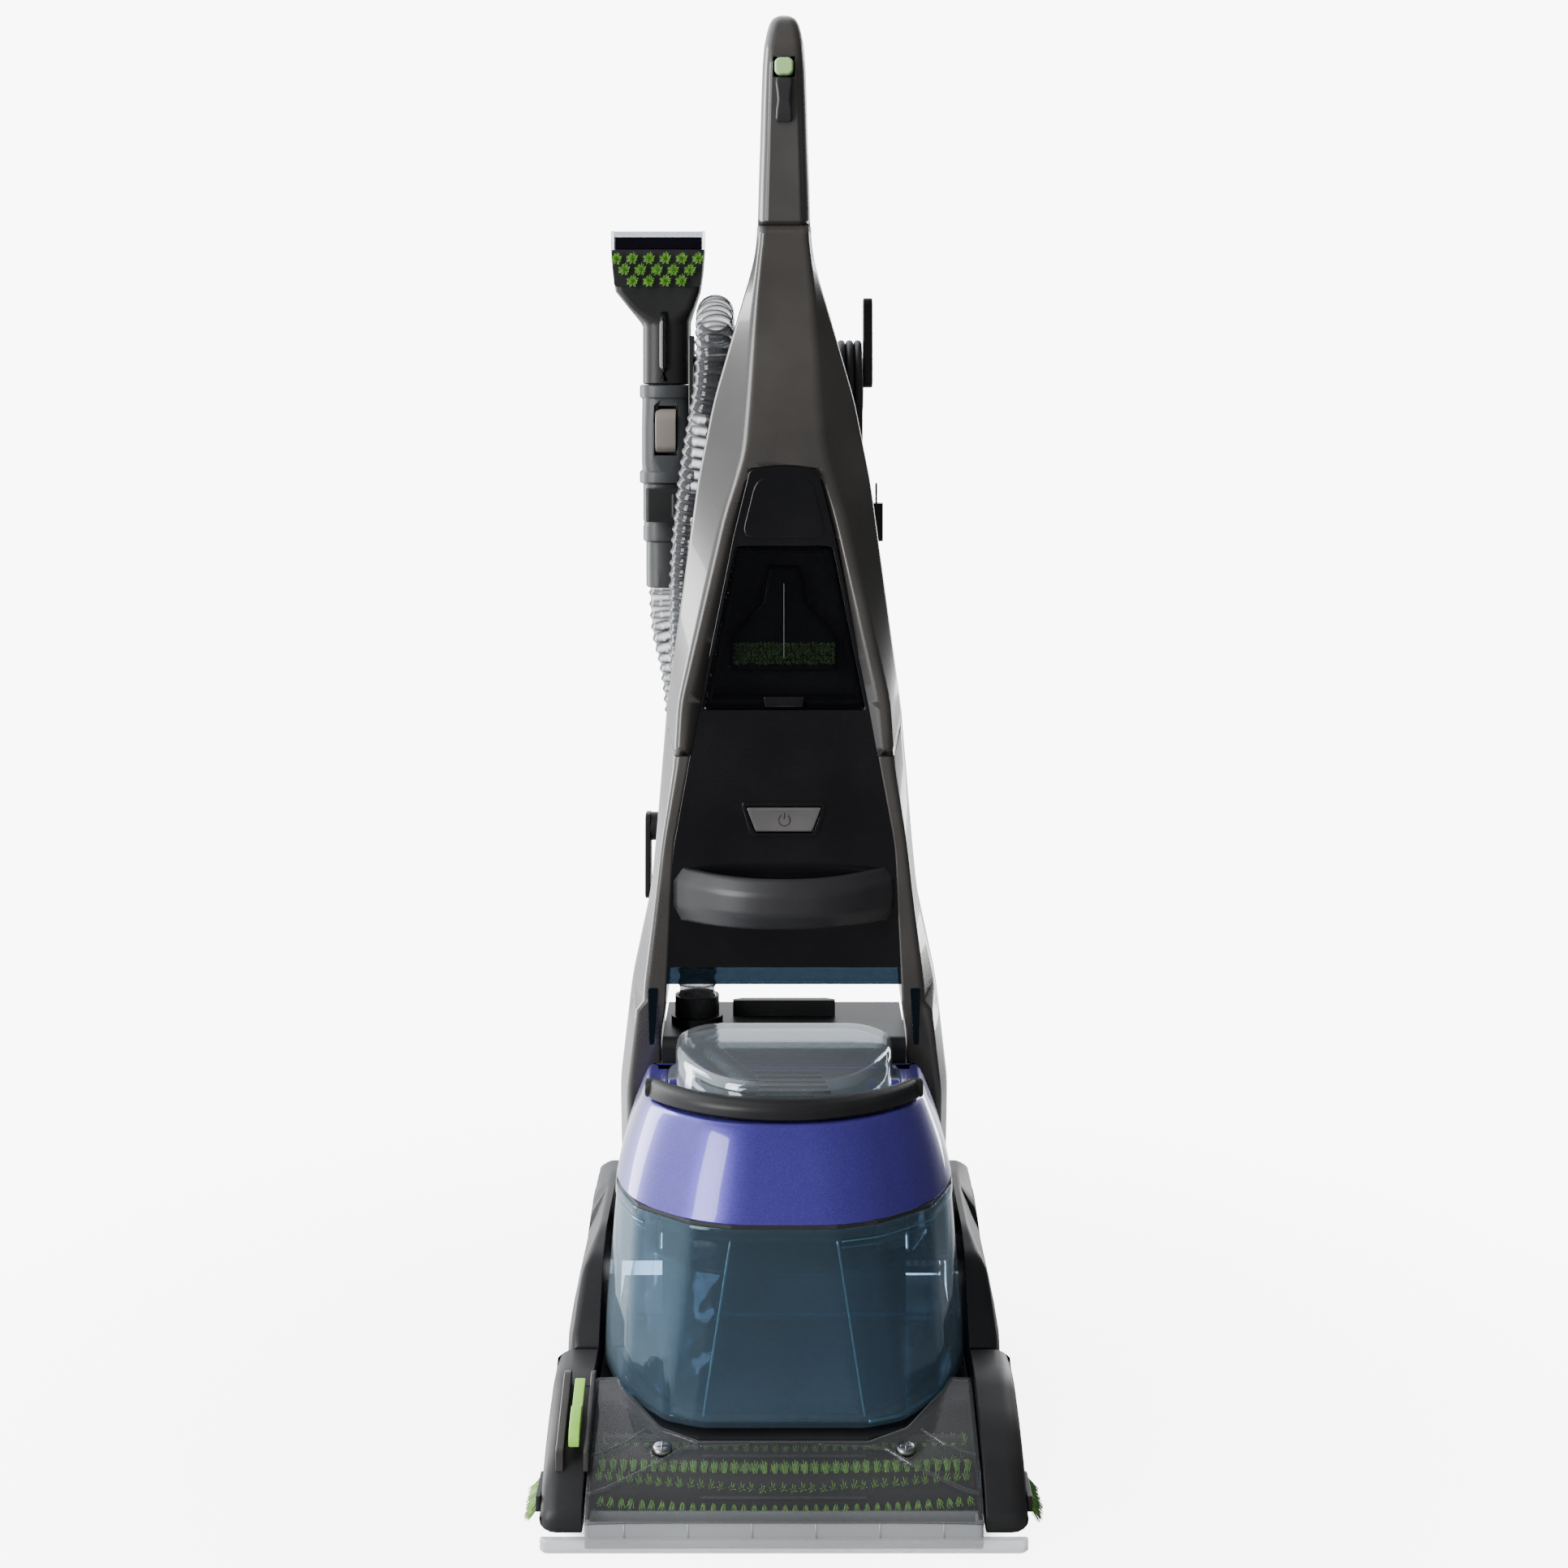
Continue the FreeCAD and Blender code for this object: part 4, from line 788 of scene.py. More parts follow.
# %% Fascia, badge panel, button and smoked parts
fascia = prism_y(rounded(trapezoid(333, 728.2, -0.4, arch=4.8), 2, 3), 45.9, 50.4)
bin_hole = prism_y(rounded(trapezoid(538.6, 669.3, 3.2), 4, 3), 30, 70)
button_hole = prism_y(rounded([(31.2, 462.2), (23.4, 440.8), (-23.4, 440.8), (-31.2, 462.2)], 3, 3), 30, 70)
piece("fascia_plate", fascia, GLOSS_BLACK, "upright", ["fascia"], bevel=0.7,
      cut_by=[bin_hole, button_hole])
bezel_line = rounded([(34.6, 465.4), (26.2, 437.8), (-26.2, 437.8), (-34.6, 465.4)], 5, 4)
bezel = prism_y(bezel_line, 44.5, 46.2)
piece("button_bezel", bezel, GLOSS_BLACK, "upright", bevel=0.5, cut_by=[button_hole])
pad = prism_y(rounded([(34, 676), (22, 724), (-22, 724), (-34, 676)], 11, 5), 45.0, 46.2)
piece("badge_pad", pad, GLOSS_BLACK, "upright", bevel=0.6)


def dished(half, front, back, low, high, dish, steps=9):
    """A plate whose front is hollowed or, with a negative dish, bowed out."""
    rings = []
    for k in range(steps):
        t = k / (steps - 1)
        z, h = low + (high - low) * t, half(low + (high - low) * t)
        across = [h * (1 - 2 * j / 12) for j in range(13)]
        face = [(x, front + dish * (1 - (x / h) ** 2) * (1 - (2 * t - 1) ** 2), z) for x in across]
        rings.append(face + [(x, back, z) for x in reversed(across)])
    return loft(rings)


button = dished(lambda z: 22.6 + 7.4 * (z - 442) / 19, 42.6, 52, 442, 461, 0.9)
symbol = joined(tube([(4.6 * math.sin(a), 43.3, 451.4 + 4.6 * math.cos(a)) for a in
                      (0.6 + (2 * math.pi - 1.2) * k / 20 for k in range(21))], 0.55, 6),
                tube([(0, 43.3, 452.4), (0, 43.3, 457.4)], 0.55, 6))
piece("button_face", button, BUTTON_GREY, "button", ["power_button"], bevel=1.2)
piece("button_symbol", symbol, SYMBOL_GREY, "button", bevel=0)
piece("smoke_band_plate", prism_y(rounded(trapezoid(319.5, 332.6, 0.6), 1.5, 3), 46.8, 50), BAND_SMOKED, "upright",
      ["smoke_band"], bevel=0.5)
for side, name in ((-1, "left"), (1, "right")):
    window_strip = [(side * x, z) for x, z in ((100.5, 317), (103.5, 272), (107.5, 272), (108.5, 317))]
    piece(name + "_rail_window", prism_y(rounded(window_strip, 1.5, 3), 44.2, 46.2), BAND_SMOKED, "upright",
          bevel=0.4)

door = dished(lambda z: at(OPENING_HALF, z) - 3.9, 45.3, 48.3, 539.2, 667.6, -1.6, 24)
barrel = lathe([(-30, 0.9), (30, 0.9)], (0, 45, 668), segments=12)
piece("bin_door", joined(door, barrel), COVER_SMOKED, "cover", ["storage_cover"], bevel=0.8)
tab = dished(lambda z: 14.5 + 0.18 * (z - 541), 41.6, 44.6, 541.5, 549.5, -0.7)
seam_bar = prism_y([(0.35, 580), (0.35, 640), (-0.35, 640), (-0.35, 580)], 42.6, 43.6)
piece("bin_door_latch", joined(tab, seam_bar), GLOSS_BLACK, "cover", bevel=0.6)

# %% [markdown]
# ## The hand tool in its bin, and the carry handle
# The tool is seen dimly through the smoked door, as a flared body with a strip of green bristle. The carry handle is a
# bar swept forward from both rails, with three facets down its front.

# %% Hand tool and carry handle
tool_rings = []
for z, half, front, back in ((566, 40, 73, 90), (568, 43.5, 70.5, 92), (592, 44, 70, 92), (600, 38, 70, 92),
                             (622, 18.5, 71, 92), (648, 14, 73, 91), (650, 12, 75, 90)):
    tool_rings.append(ring_z(rounded([(half, front), (half, back), (-half, back), (-half, front)], 5), z))
piece("hand_tool_body", loft(tool_rings), BLACK, "upright", ["upholstery_tool"], bevel=0)
spots = [((-39 + 3.25 * i, 70.5, 575 + 3.4 * row), (0, -1, 0), 1.0) for i in range(25) for row in range(5)]
# The tool's bristles take the paler copy of the green, painted light that lets them show through the smoked door.
scatter("hand_tool_bristles", tuft(10, 1.7, 6, 0.4), spots, BRISTLE_PAINTED_LIT, "upright", slot="green_bristle")


def bow(x):
    """How far forward the handle's outer and inner faces stand, at a place across the machine."""
    outer = 4 + 42 * (abs(x) / 88) ** 2.25
    inner = 20 + 26 * (abs(x) / 66) ** 2.2
    return outer, min(max(inner, outer + 5), 60)


handle_rings = []
for k in range(49):
    x = -88 + 176 * k / 48
    outer, inner = bow(x)
    outer, inner = min(outer, 45.5), min(inner, 50.5)
    lift = 3 * (abs(x) / 88) ** 2
    side_view = [(outer + 8, 411 + lift), (outer, 399 + lift), (outer, 383), (outer + 7, 370), (inner, 372),
                 (inner, 409 + lift)]
    handle_rings.append(ring_x(rounded(side_view, [4, 3, 3, 4, 5, 5]), x))
piece("carry_bar", loft(handle_rings), SATIN_BLACK, "upright", ["carry_handle"], bevel=1.0, sharp=60)

# %% [markdown]
# ## Grip, guard and trigger
# The neck runs up into the grip, which leans back over its last few centimetres. Rings are taken up the front edge and
# the last two are drawn in, so that the top closes as a dome.

# %% Handle
GRIP = [(926.3, 21.5, 66, 112), (960, 20.6, 67, 111), (990, 19.6, 68, 110), (1030, 18.5, 69.5, 110),
        (1056, 17.6, 71, 111), (1072, 16.4, 75, 117), (1084, 14.4, 81.5, 125), (1093, 12.2, 89, 132),
        (1098, 9.6, 96, 135), (1100.5, 6, 104, 133)]


def grip_at(height):
    heights = [row[0] for row in GRIP]
    return [float(np.interp(height, heights, [row[i] for row in GRIP])) for i in (1, 2, 3)]


def grip_outline(half, front, back):
    return rounded(mirror([(half * 0.72, front), (half, front + 10), (half, back - 13), (half * 0.5, back)]),
                   [5, 6, 8, 7, 7, 8, 6, 5])


rings = []
for z in list(np.linspace(926.3, 1060, 24)) + list(np.linspace(1064, 1100.4, 14)):
    half, front, back = grip_at(z)
    rings.append(ring_z(grip_outline(half, front, back), z))
pocket = loft([ring_z(rounded([(8.8, 50), (8.8, 90), (-8.8, 90), (-8.8, 50)], 2), z) for z in (1046.2, 1062.8)])
piece("grip_shell", loft(rings), GUNMETAL, "upright", ["handle_shell"], bevel=0, cut_by=[pocket])

rings = []
for z in np.linspace(930, 1063.6, 26):
    half = 15.6 - 4.0 * (z - 930) / 130
    if z > 1054:
        half *= math.sqrt(max(0.05, 1 - ((z - 1054) / 11.0) ** 2)) * 0.9 + 0.1
    _, front, _ = grip_at(z)
    rings.append(ring_z(rounded([(half, front + 1.6), (half * 0.86, front - 0.7), (-half * 0.86, front - 0.7),
                                 (-half, front + 1.6), (-half, front + 5), (half, front + 5)],
                                [1, 3, 3, 1, 1, 1], 4), z))
guard_rings = []
for z, half, front in ((1009, 5.2, 68), (1012, 6.6, 64.5), (1020, 6.2, 62.5), (1027, 5.2, 62.2), (1034, 5.8, 62),
                       (1041, 6.7, 62.6), (1045.6, 6.2, 66)):
    guard_rings.append(ring_z(rounded([(half, front), (half, 74), (-half, 74), (-half, front)], 2), z))
piece("grip_strip", loft(rings), GUNMETAL_STRIP, "upright", ["handle_grip"], bevel=0.8,
      cut_by=[pocket])
piece("trigger_guard", loft(guard_rings), SATIN_BLACK, "upright", bevel=0.8)
octagon = [(4.6, 1047.4), (7.6, 1050.4), (7.6, 1058.8), (4.6, 1061.6), (-4.6, 1061.6), (-7.6, 1058.8),
           (-7.6, 1050.4), (-4.6, 1047.4)]
trigger = loft([[(x * s, y, 1054.5 + (z - 1054.5) * s) for x, z in rounded(octagon, 1.5, 3)]
                for s, y in ((0.82, 62.9), (0.97, 64.2), (1, 66), (1, 80))])
piece("trigger_cap", trigger, GREEN_TRIGGER, "trigger", ["spray_trigger"], bevel=0.6)
print("upright dressed")

# %% [markdown]
# ## Tank, bladder and lid
# The tank is one wall folded over: up the outside, across the rim, down the inside. The bag of clean water inside is a
# soft shape, so its skin is pushed about by two sizes of noise until it creases like film. The purple lid is a band
# that leans in as it rises, with its facets meeting in crisp lines.

# %% Tank and its bladder
def tank_corners(height):
    """The right half of the tank's plan, from its flat front round to its back."""
    r = (height - 57) / 138
    return [(60 - 22 * r, -173 + 16 * r), (88 - 20 * r, -160 + 14 * r), (118 - 10 * r, -119 + 8 * r),
            (138 - 11 * r, -60 + 2 * r), (138 - 11 * r, 38)]

def tank_outline(height, draw=0.0, radii=(8, 7, 8, 24, 9)):
    return drawn_in(rounded(mirror(tank_corners(height)), list(radii) + list(reversed(radii)), 6), draw)


def wall_rings(outline, steps):
    return [ring_z(outline(z, draw), z) for z, draw in steps]


belly = [(57, 7), (58, 4.2), (60.5, 1.6), (64, 0.2)] + [(z, -0.6 * math.sin(math.pi * (z - 64) / 122))
                                                       for z in np.linspace(68, 184, 22)]
rim = [(186, 0), (188, 0), (188.3, -1.2), (194.6, -1.2), (195, -0.6), (195, 2.4)]
inside = [(z, 2.6) for z in np.linspace(190, 66, 12)] + [(62, 4), (60, 8)]
piece("tank_shell", loft(wall_rings(tank_outline, belly + rim + inside)), TANK_CLEAR, "tank", ["tank_body"],
      bevel=0)
# Bars just inside the tank's corners, round its floor and along its rim, in the teal that is partly a painted
# highlight.
ridge_lines = []
for side in (-1, 1):
    for corner, across, behind in ((0, 0.99, 3.3), (3, 6.5, 6.5)):
        line = [(side * (tank_corners(z)[corner][0] - across), tank_corners(z)[corner][1] + behind, z)
                for z in np.linspace(66, 186, 25)]
        ridge_lines.append(tube(line, 0.9, 8))
floor_lip = tube([(x, y, 61.5) for x, y in tank_outline(62, 5)[4:56]], 1.6, 8)
rim_lines = [tube([(x, y, z) for x, y in tank_outline(z, draw)[4:56]], 0.7, 8)
             for z, draw in ((186.6, -0.2), (181, 3.4))]
piece("tank_ridges", joined(*ridge_lines, floor_lip, *rim_lines), TANK_EDGE_PAINTED_HIGHLIGHT, "tank", bevel=0)

rng = np.random.default_rng(11)
waves = [(rng.normal(0, 1, 3), rng.uniform(0, 6.28)) for _ in range(9)]
bag_rings = []
for z in np.linspace(61, 157, 44):
    t = (z - 61) / 96
    draw = 8 + 9 * t ** 3 + 5 * max(0, 0.12 - t) * 10
    line = tank_outline(61 + 0.9 * (z - 61), draw + 1.5, (20, 18, 18, 30, 14))
    ring = []
    for x, y in line:
        push = 0
        for k, (way, phase) in enumerate(waves):
            frequency = 0.045 if k < 4 else 0.12
            push += (1.5 if k < 4 else 0.55) * abs(math.sin(frequency * (way[0] * x + way[1] * y + 1.3 * way[2] * z)
                                                            + phase))
        scale = 1 - push / 130
        ring.append((x * scale, (y + 60) * scale - 60, z))
    bag_rings.append(ring)
top = bag_rings[-1]
for draw, rise in ((0.93, 2.5), (0.8, 3.6), (0.5, 4.2), (0.2, 4.0)):
    bag_rings.append([(x * draw, (y + 60) * draw - 60, z + rise - 1.2) for x, y, z in top])
bag = piece("water_bag", loft(bag_rings), BLADDER_CLEAR, "tank", ["bladder"], bevel=0)

# %% Lid band, top plate, window, bail and float
def lid_outline(height, draw=0.0):
    r = (height - 198) / 62
    half = [(38 - 8 * r, -158 + 34 * r), (69 - 14 * r, -146 + 30 * r), (109 - 20 * r, -111 + 22 * r),
            (128 - 21 * r, -58 + 8 * r), (128 - 21 * r, 38)]
    return drawn_in(rounded(mirror(half), [60, 60, 60, 36, 8, 8, 36, 60, 60, 60], 7), draw)


band = [(198.2, 1.5), (198.0, 0.6), (199, 0)] + [(z, -1.6 * math.sin(math.pi * (z - 199) / 58))
                                                 for z in np.linspace(204, 252, 14)]
band += [(257, 0.2), (259.4, 1.4), (260, 3.2), (260, 14), (260, 19), (256, 19), (256, 10), (254, 4)]
band += [(z, 3) for z in np.linspace(250, 202, 8)] + [(199, 3)]
rings = wall_rings(lid_outline, band)
ears = []
for side in (-1, 1):
    low, high = sorted((side * 81, side * 87))
    ears.append(loft([ring_x(rounded([(-62.5, 258), (-52, 258), (-53, 272), (-58, 275), (-62.5, 272)], 2.5), x)
                      for x in (low, high)]))
    ears.append(lathe([(0, 2.4), (side * 17, 2.4)], (side * 85, BAIL_Y, BAIL_Z), segments=20))
piece("lid_band", loft(rings, loop=True), PURPLE, "lid", ["tank_lid"], bevel=0)
piece("lid_ears", joined(*ears), PURPLE, "lid", bevel=0.5)


def window_outline(draw):
    half = [(30 - draw, -94 + draw), (56 - draw, -80 + draw), (76 - draw, -50 + draw), (84 - draw, -20),
            (84 - draw, 16 - draw), (66 - draw, 36 - draw)]
    return rounded(mirror(half), 14, 4)


def window_top(y):
    return 280.6 + (y + 110) * 15 / 170


rings = []
for draw, height in ((-6, 260.2), (-6, 262.2), (-1, 262.4), (0, 264)):
    rings.append([(x, y, height) for x, y in window_outline(draw)])
for draw, below in ((0, 8), (0.6, 4), (2.0, 1.6), (4.5, 0.3), (9, 0.0), (16, -0.5), (29, -0.8)):
    rings.append([(x, y, window_top(y) - below) for x, y in window_outline(draw)])
room = [[(x, y, 259.9) for x, y in window_outline(2.4)]]
for draw, below in ((2.6, 9), (4.4, 5), (10, 2.6), (29, 1.8)):
    room.append([(x, y, window_top(y) - below) for x, y in window_outline(draw)])
piece("lid_dome", loft(rings), LID_CLEAR, "lid", ["lid_window"], bevel=0, cut_by=[loft(room)])
ribs = []
for i in range(7):
    y = -74 + 13 * i
    half = 40 - 2 * i
    ribs.append(block((-half, half), (y, y + 3.2), (260.4, 262.6), 1.2))
plate = loft([[(x, y, z) for x, y in window_outline(3)] for z in (258.4, 259.6)])
piece("lid_inner_ribs", joined(plate, *ribs), CHARCOAL, "lid", bevel=0.4)


def arc_line(half, rear, front, count):
    """Points on the circle through the two ends and the middle of a crescent's edge."""
    depth = rear - front
    radius = (half * half + depth * depth) / (2 * depth)
    reach = math.asin(half / radius)
    return [(radius * math.sin(a), front + radius - radius * math.cos(a))
            for a in (reach * (1 - 2 * k / (count - 1)) for k in range(count))]


outer, inner = arc_line(105, -58, -123, 41), arc_line(94, -58, -104, 41)
rings = []
for (xo, yo), (xi, yi) in zip(outer, inner):
    section = [(0, 262.6), (0, 270.5), (4, 274.8), (12, 274.8), (12, 261.6), (2, 261.2)]
    rings.append([(xo + (xi - xo) * p / 12, yo + (yi - yo) * p / 12, z)
                  for p, z in rounded(section, [2, 3, 3, 3, 2, 2], 3)])
eyes = [lathe([(0, 6), (side * 1.5, 7), (side * 9.5, 7), (side * 11, 6)], (side * 94, BAIL_Y, BAIL_Z), segments=32)
        for side in (-1, 1)]
pins = [lathe([(-side * 2, 2.7), (side * 9.4, 2.7)], (side * 94, BAIL_Y, BAIL_Z), segments=20) for side in (-1, 1)]
piece("tank_bail", joined(loft(rings), *eyes), BLACK, "bail", ["tank_handle"], bevel=0.5, sharp=55,
      cut_by=pins)
piece("float_ball", lathe([(170, 9), (171, 12), (174, 14.2), (180, 14.5), (188, 14.2), (193, 12), (195.6, 8),
                           (196, 4)], (86, -10, 0), "z", 32), FLOAT_WHITE, "float", ["float_valve"],
      bevel=0)

# %% [markdown]
# ## The cleaning head
# The head is wider than everything above it. A smoky hood shows the two brush rolls, clear walls carry the suction
# slot, and a cap at each side holds the rolls' ends. Lofts taken across the machine give the caps and fenders.

# %% Caps, fenders, housing dress and pedal
def side_loft(profile, radii, stations):
    """A side profile taken across the machine; each station may draw the profile in."""
    line = rounded(profile, radii, 5)
    return loft([ring_x(drawn_in(line, draw), across) for across, draw in stations])


FENDER_TOP = ([-68, -22, 20, 150, 196, 214], [76, 126, 137, 137, 133, 119])
FENDER_OUT = ([10, 75, 124, 137], [160, 164.5, 158, 148])
cap_side = [(-228, 9.5), (-70, 9.5), (-70, 76), (-118, 76), (-168, 62), (-205, 44), (-228, 22)]
for name, side in (("left", -1), ("right", 1)):
    stations = [(side * x, d) for x, d in ((139.2, 0.8), (140, 0.1), (156, 0), (161, 0.5), (165, 2.2), (167.5, 4.6),
                                           (168.7, 7), (169, 9.5))]
    cap = side_loft(cap_side, [5, 2, 4, 14, 16, 16, 8], stations)
    cuts = [side_loft([(-215, 4), (-82, 4), (-82, 66), (-118, 66), (-166, 52), (-208, 34)], 3,
                      [(side * 142.4, 0), (side * 163.5, 0)])]
    cuts += [lathe([(side * 130, hole), (side * 143, hole)], (0, y, z), segments=24)
             for y, z, hole in ((-186, 21.5, 4.4), (-140, 21.5, 4.4), (-90, 34, 6))]
    if side < 0:
        cuts.append(side_loft([(-203, 56), (-203, 47.6), (-130, 72), (-130, 92), (-203, 92)], 1,
                              [(-153.5, 0), (-140.5, 0)]))
    piece(name + "_cap_shell", cap, BLACK, "base", [name + "_end_cap"], bevel=0.4, sharp=60,
          cut_by=cuts)
    rings = []
    for y in [-68, -67.2, -65] + list(np.linspace(-60, 112, 30)) + list(np.linspace(114, 211, 30)) + [213, 214]:
        top = float(np.mean([np.interp(y + d, *FENDER_TOP) for d in (-8, -4, 0, 4, 8)]))
        low = 10.0 if y < 113 else WHEEL_Z + math.sqrt(max(0, 61.6 ** 2 - (y - WHEEL_Y) ** 2))
        end = max(0.0, 1 - (y + 68) / 5, (y - 209) / 5) * 3
        low, top = low + end, max(top - end, low + 6)
        edge = [(139.3, low), (float(np.interp(low, *FENDER_OUT)) - end, low)]
        edge += [(float(np.interp(low + (top - low) * t, *FENDER_OUT)) - end, low + (top - low) * t)
                 for t in (0.35, 0.7)]
        edge += [(float(np.interp(top, *FENDER_OUT)) - end - 3, top), (139.3, top)]
        rings.append([(side * x, y, z) for x, z in rounded(edge, [0.5, 2, 3, 6, 6, 0.5], 4)])
    piece(name + "_fender_shell", loft(rings), BLACK, "base", [name + "_fender"], bevel=0.4,
          sharp=50)
    profile = [(140.4, 30), (140.4, 50), (141, 54), (144, 56.4), (147, 57), (155, 57), (158.4, 56.4), (161, 54),
               (161.8, 50), (161.8, 38), (160.5, 36.5), (155.4, 35.5), (155, 34), (155, 14), (156, 12.4), (160, 12),
               (161, 11), (161, 5.4), (140.6, 5.4), (140.6, 30)]
    vertices, faces = lathe([(side * x, r) for x, r in profile], (0, WHEEL_Y, WHEEL_Z), segments=80)
    faces = [face for face in faces if len(face) == 4]
    spokes = []
    for k in range(7):
        a = 2 * math.pi * k / 7
        c, s = math.cos(a), math.sin(a)
        spokes.append(loft([[(side * x, WHEEL_Y + c * r - s * w, WHEEL_Z + s * r + c * w)
                             for x, w in ((154, -2.2), (158.5, -1.2), (158.5, 1.2), (154, 2.2))] for r in (13, 35.8)]))
    piece(name + "_wheel_tyre", joined((vertices, faces), *spokes), RUBBER, name + "_wheel", [name + "_wheel"],
          bevel=0.3, sharp=50)

lever_side = [(-201, 57.5), (-142, 79.0), (-142, 83.5), (-170, 73.6), (-176, 78), (-194, 70.6), (-201, 64)]
lever = side_loft(lever_side, [2, 2, 2, 3, 3, 4, 3], [(-150.8, 0.9), (-150.2, 0.1), (-143.8, 0.1), (-143.2, 0.9)])
piece("selector_knob", lever, GREEN_LEVER, "selector", ["mode_selector"], bevel=0)
walls = [side_loft([(-205, 42), (-128, 68), (-128, 83), (-134, 84), (-205, 57.5)], 2, [(x0, 0), (x1, 0)])
         for x0, x1 in ((-159.5, -154), (-140, -136.5))]
piece("selector_walls", joined(*walls), CHARCOAL, "base", bevel=0.8)
pedal = side_loft([(196, 34), (230, 35.5), (232.5, 38.5), (230, 42), (196, 40)], 1.6,
                  [(101.2, 0.8), (102, 0), (133, 0), (133.8, 0.8)])
bar = lathe([(97.8, 2.4), (136.8, 2.4)], (0, 202, 36.5), segments=20)
piece("pedal_plate", joined(pedal, bar), BLACK, "pedal", ["recline_pedal"], bevel=0)
grips = [((104 + 6.5 * i, 214, 41.6), (0, 0, 1), 1.0) for i in range(5)]
scatter("pedal_ribs", block((-1, 1), (-11, 11), (0, 1.3), 0.8), grips, RUBBER, "pedal", wobble=0, slot="black_plastic")

# %% Hood, nozzle and bumper
HOOD = [(-232, 20), (-226, 26), (-215, 34), (-195, 45.4), (-173, 53.4), (-140, 64), (-112, 72), (-90, 75)]


def hood_height(x, y):
    ys, zs = zip(*HOOD)
    base = float(np.mean([np.interp(y + d, ys, zs) for d in (-4, 0, 4)]))
    return base - 1.2 * (abs(x) / 138) ** 6


def tank_front(x):
    """Where the tank's plan begins at a place across the machine, three millimetres clear."""
    xs, ys = (0, 60, 88, 118, 138), (-173, -173, -160, -119, -60)
    return float(np.interp(abs(x), xs, ys)) - 3.4


def hood_grid(lift):
    rows = []
    for i in range(93):
        x = -137.6 + 275.2 * i / 92
        rear = min(-112.2, tank_front(x))
        rows.append([(x, y, hood_height(x, y) + lift) for y in
                     (-231.6 + (rear + 231.6) * k / 26 for k in range(27))])
    return rows


outer_rows, inner_rows = hood_grid(0), hood_grid(-2.5)
hood = loft([a + list(reversed(b)) for a, b in zip(outer_rows, inner_rows)])
holes = [lathe([(38, 7.2), (70, 7.2)], (x, -184, 0), "z", 28) for x in (-86, 86)]
piece("hood_shell", hood, HOOD_CLEAR, "base", ["brush_hood"], bevel=0, cut_by=holes)


def on_hood(points, lift):
    smooth = []
    for (x0, y0), (x1, y1) in zip(points, points[1:]):
        smooth += [(x0 + (x1 - x0) * k / 6, y0 + (y1 - y0) * k / 6) for k in range(6)]
    smooth.append(points[-1])
    return [(x, y, hood_height(x, y) + lift) for x, y in smooth]


ribs = []
for side in (-1, 1):
    for points, radius in (([(60, -182), (72, -184), (88, -196), (104, -204), (124, -213), (136, -216)], 1.5),
                           ([(98, -166), (112, -178), (128, -186), (136, -188)], 1.0),
                           ([(24, -180), (44, -181), (60, -182)], 0.9)):
        ribs.append(tube(on_hood([(side * x, y) for x, y in points], 0.3), radius, 8))
for lift, y in ((0.6, -178.4), (0.2, -190), (0.2, -219)):
    ribs.append(tube(on_hood([(-58 if y < -180 else -24, y), (58 if y < -180 else 24, y)], lift), 0.9, 8))
piece("hood_ribs", joined(*ribs), HOOD_CLEAR, "base", bevel=0)
screw_head = joined(lathe([(0, 6.6), (3.2, 6.6), (4.0, 5.8), (4.2, 3)], (0, 0, 0), "z", 20),
                    block((-4.2, 4.2), (-0.6, 0.6), (4.0, 4.7), 0.4), block((-0.6, 0.6), (-4.2, 4.2), (4.0, 4.7), 0.4))
scatter("hood_screw_heads", screw_head, [((x, -184, 48.4), (0, -0.25, 1), 1.0) for x in (-86, 86)], STEEL, "base",
        wobble=0, replaces=["hood_screws"], slot="screw_steel")

half = 137.4
outline = rounded([(-half, -231), (half, -231), (half, -212), (-half, -212)], 3)
inner = rounded([(-half + 3.6, -228.4), (half - 3.6, -228.4), (half - 3.6, -214.6), (-half + 3.6, -214.6)], 2)
nozzle_wall = loft([ring_z(outline, 1.6), ring_z(outline, 19), ring_z(inner, 19), ring_z(inner, 1.6)], loop=True)
lip_front = [(-165, -235), (165, -235), (168, -230), (168, -228.6), (-168, -228.6), (-168, -230)]
rings = []
for z, draw in ((0, 0.8), (0.8, 0), (8, 0), (9, 0.9)):
    rings.append(ring_z(rounded([(x - math.copysign(draw, x), y + (draw if y < -232 else 0)) for x, y in lip_front],
                                [4, 4, 2, 1, 1, 2]), z))
piece("nozzle_walls", joined(nozzle_wall, loft(rings)), NOZZLE_CLEAR, "base", ["suction_nozzle"],
      bevel=0.4, sharp=60)
rib_spots = [((-110 + 44 * i, -231.2, 10.0), (0, 0, 1), 1.0) for i in range(6)]
scatter("nozzle_ribs", block((-0.5, 0.5), (-0.4, 0.8), (-0.8, 8.6), 0.4), rib_spots, NOZZLE_CLEAR, "base", wobble=0,
        slot="frost_clear")

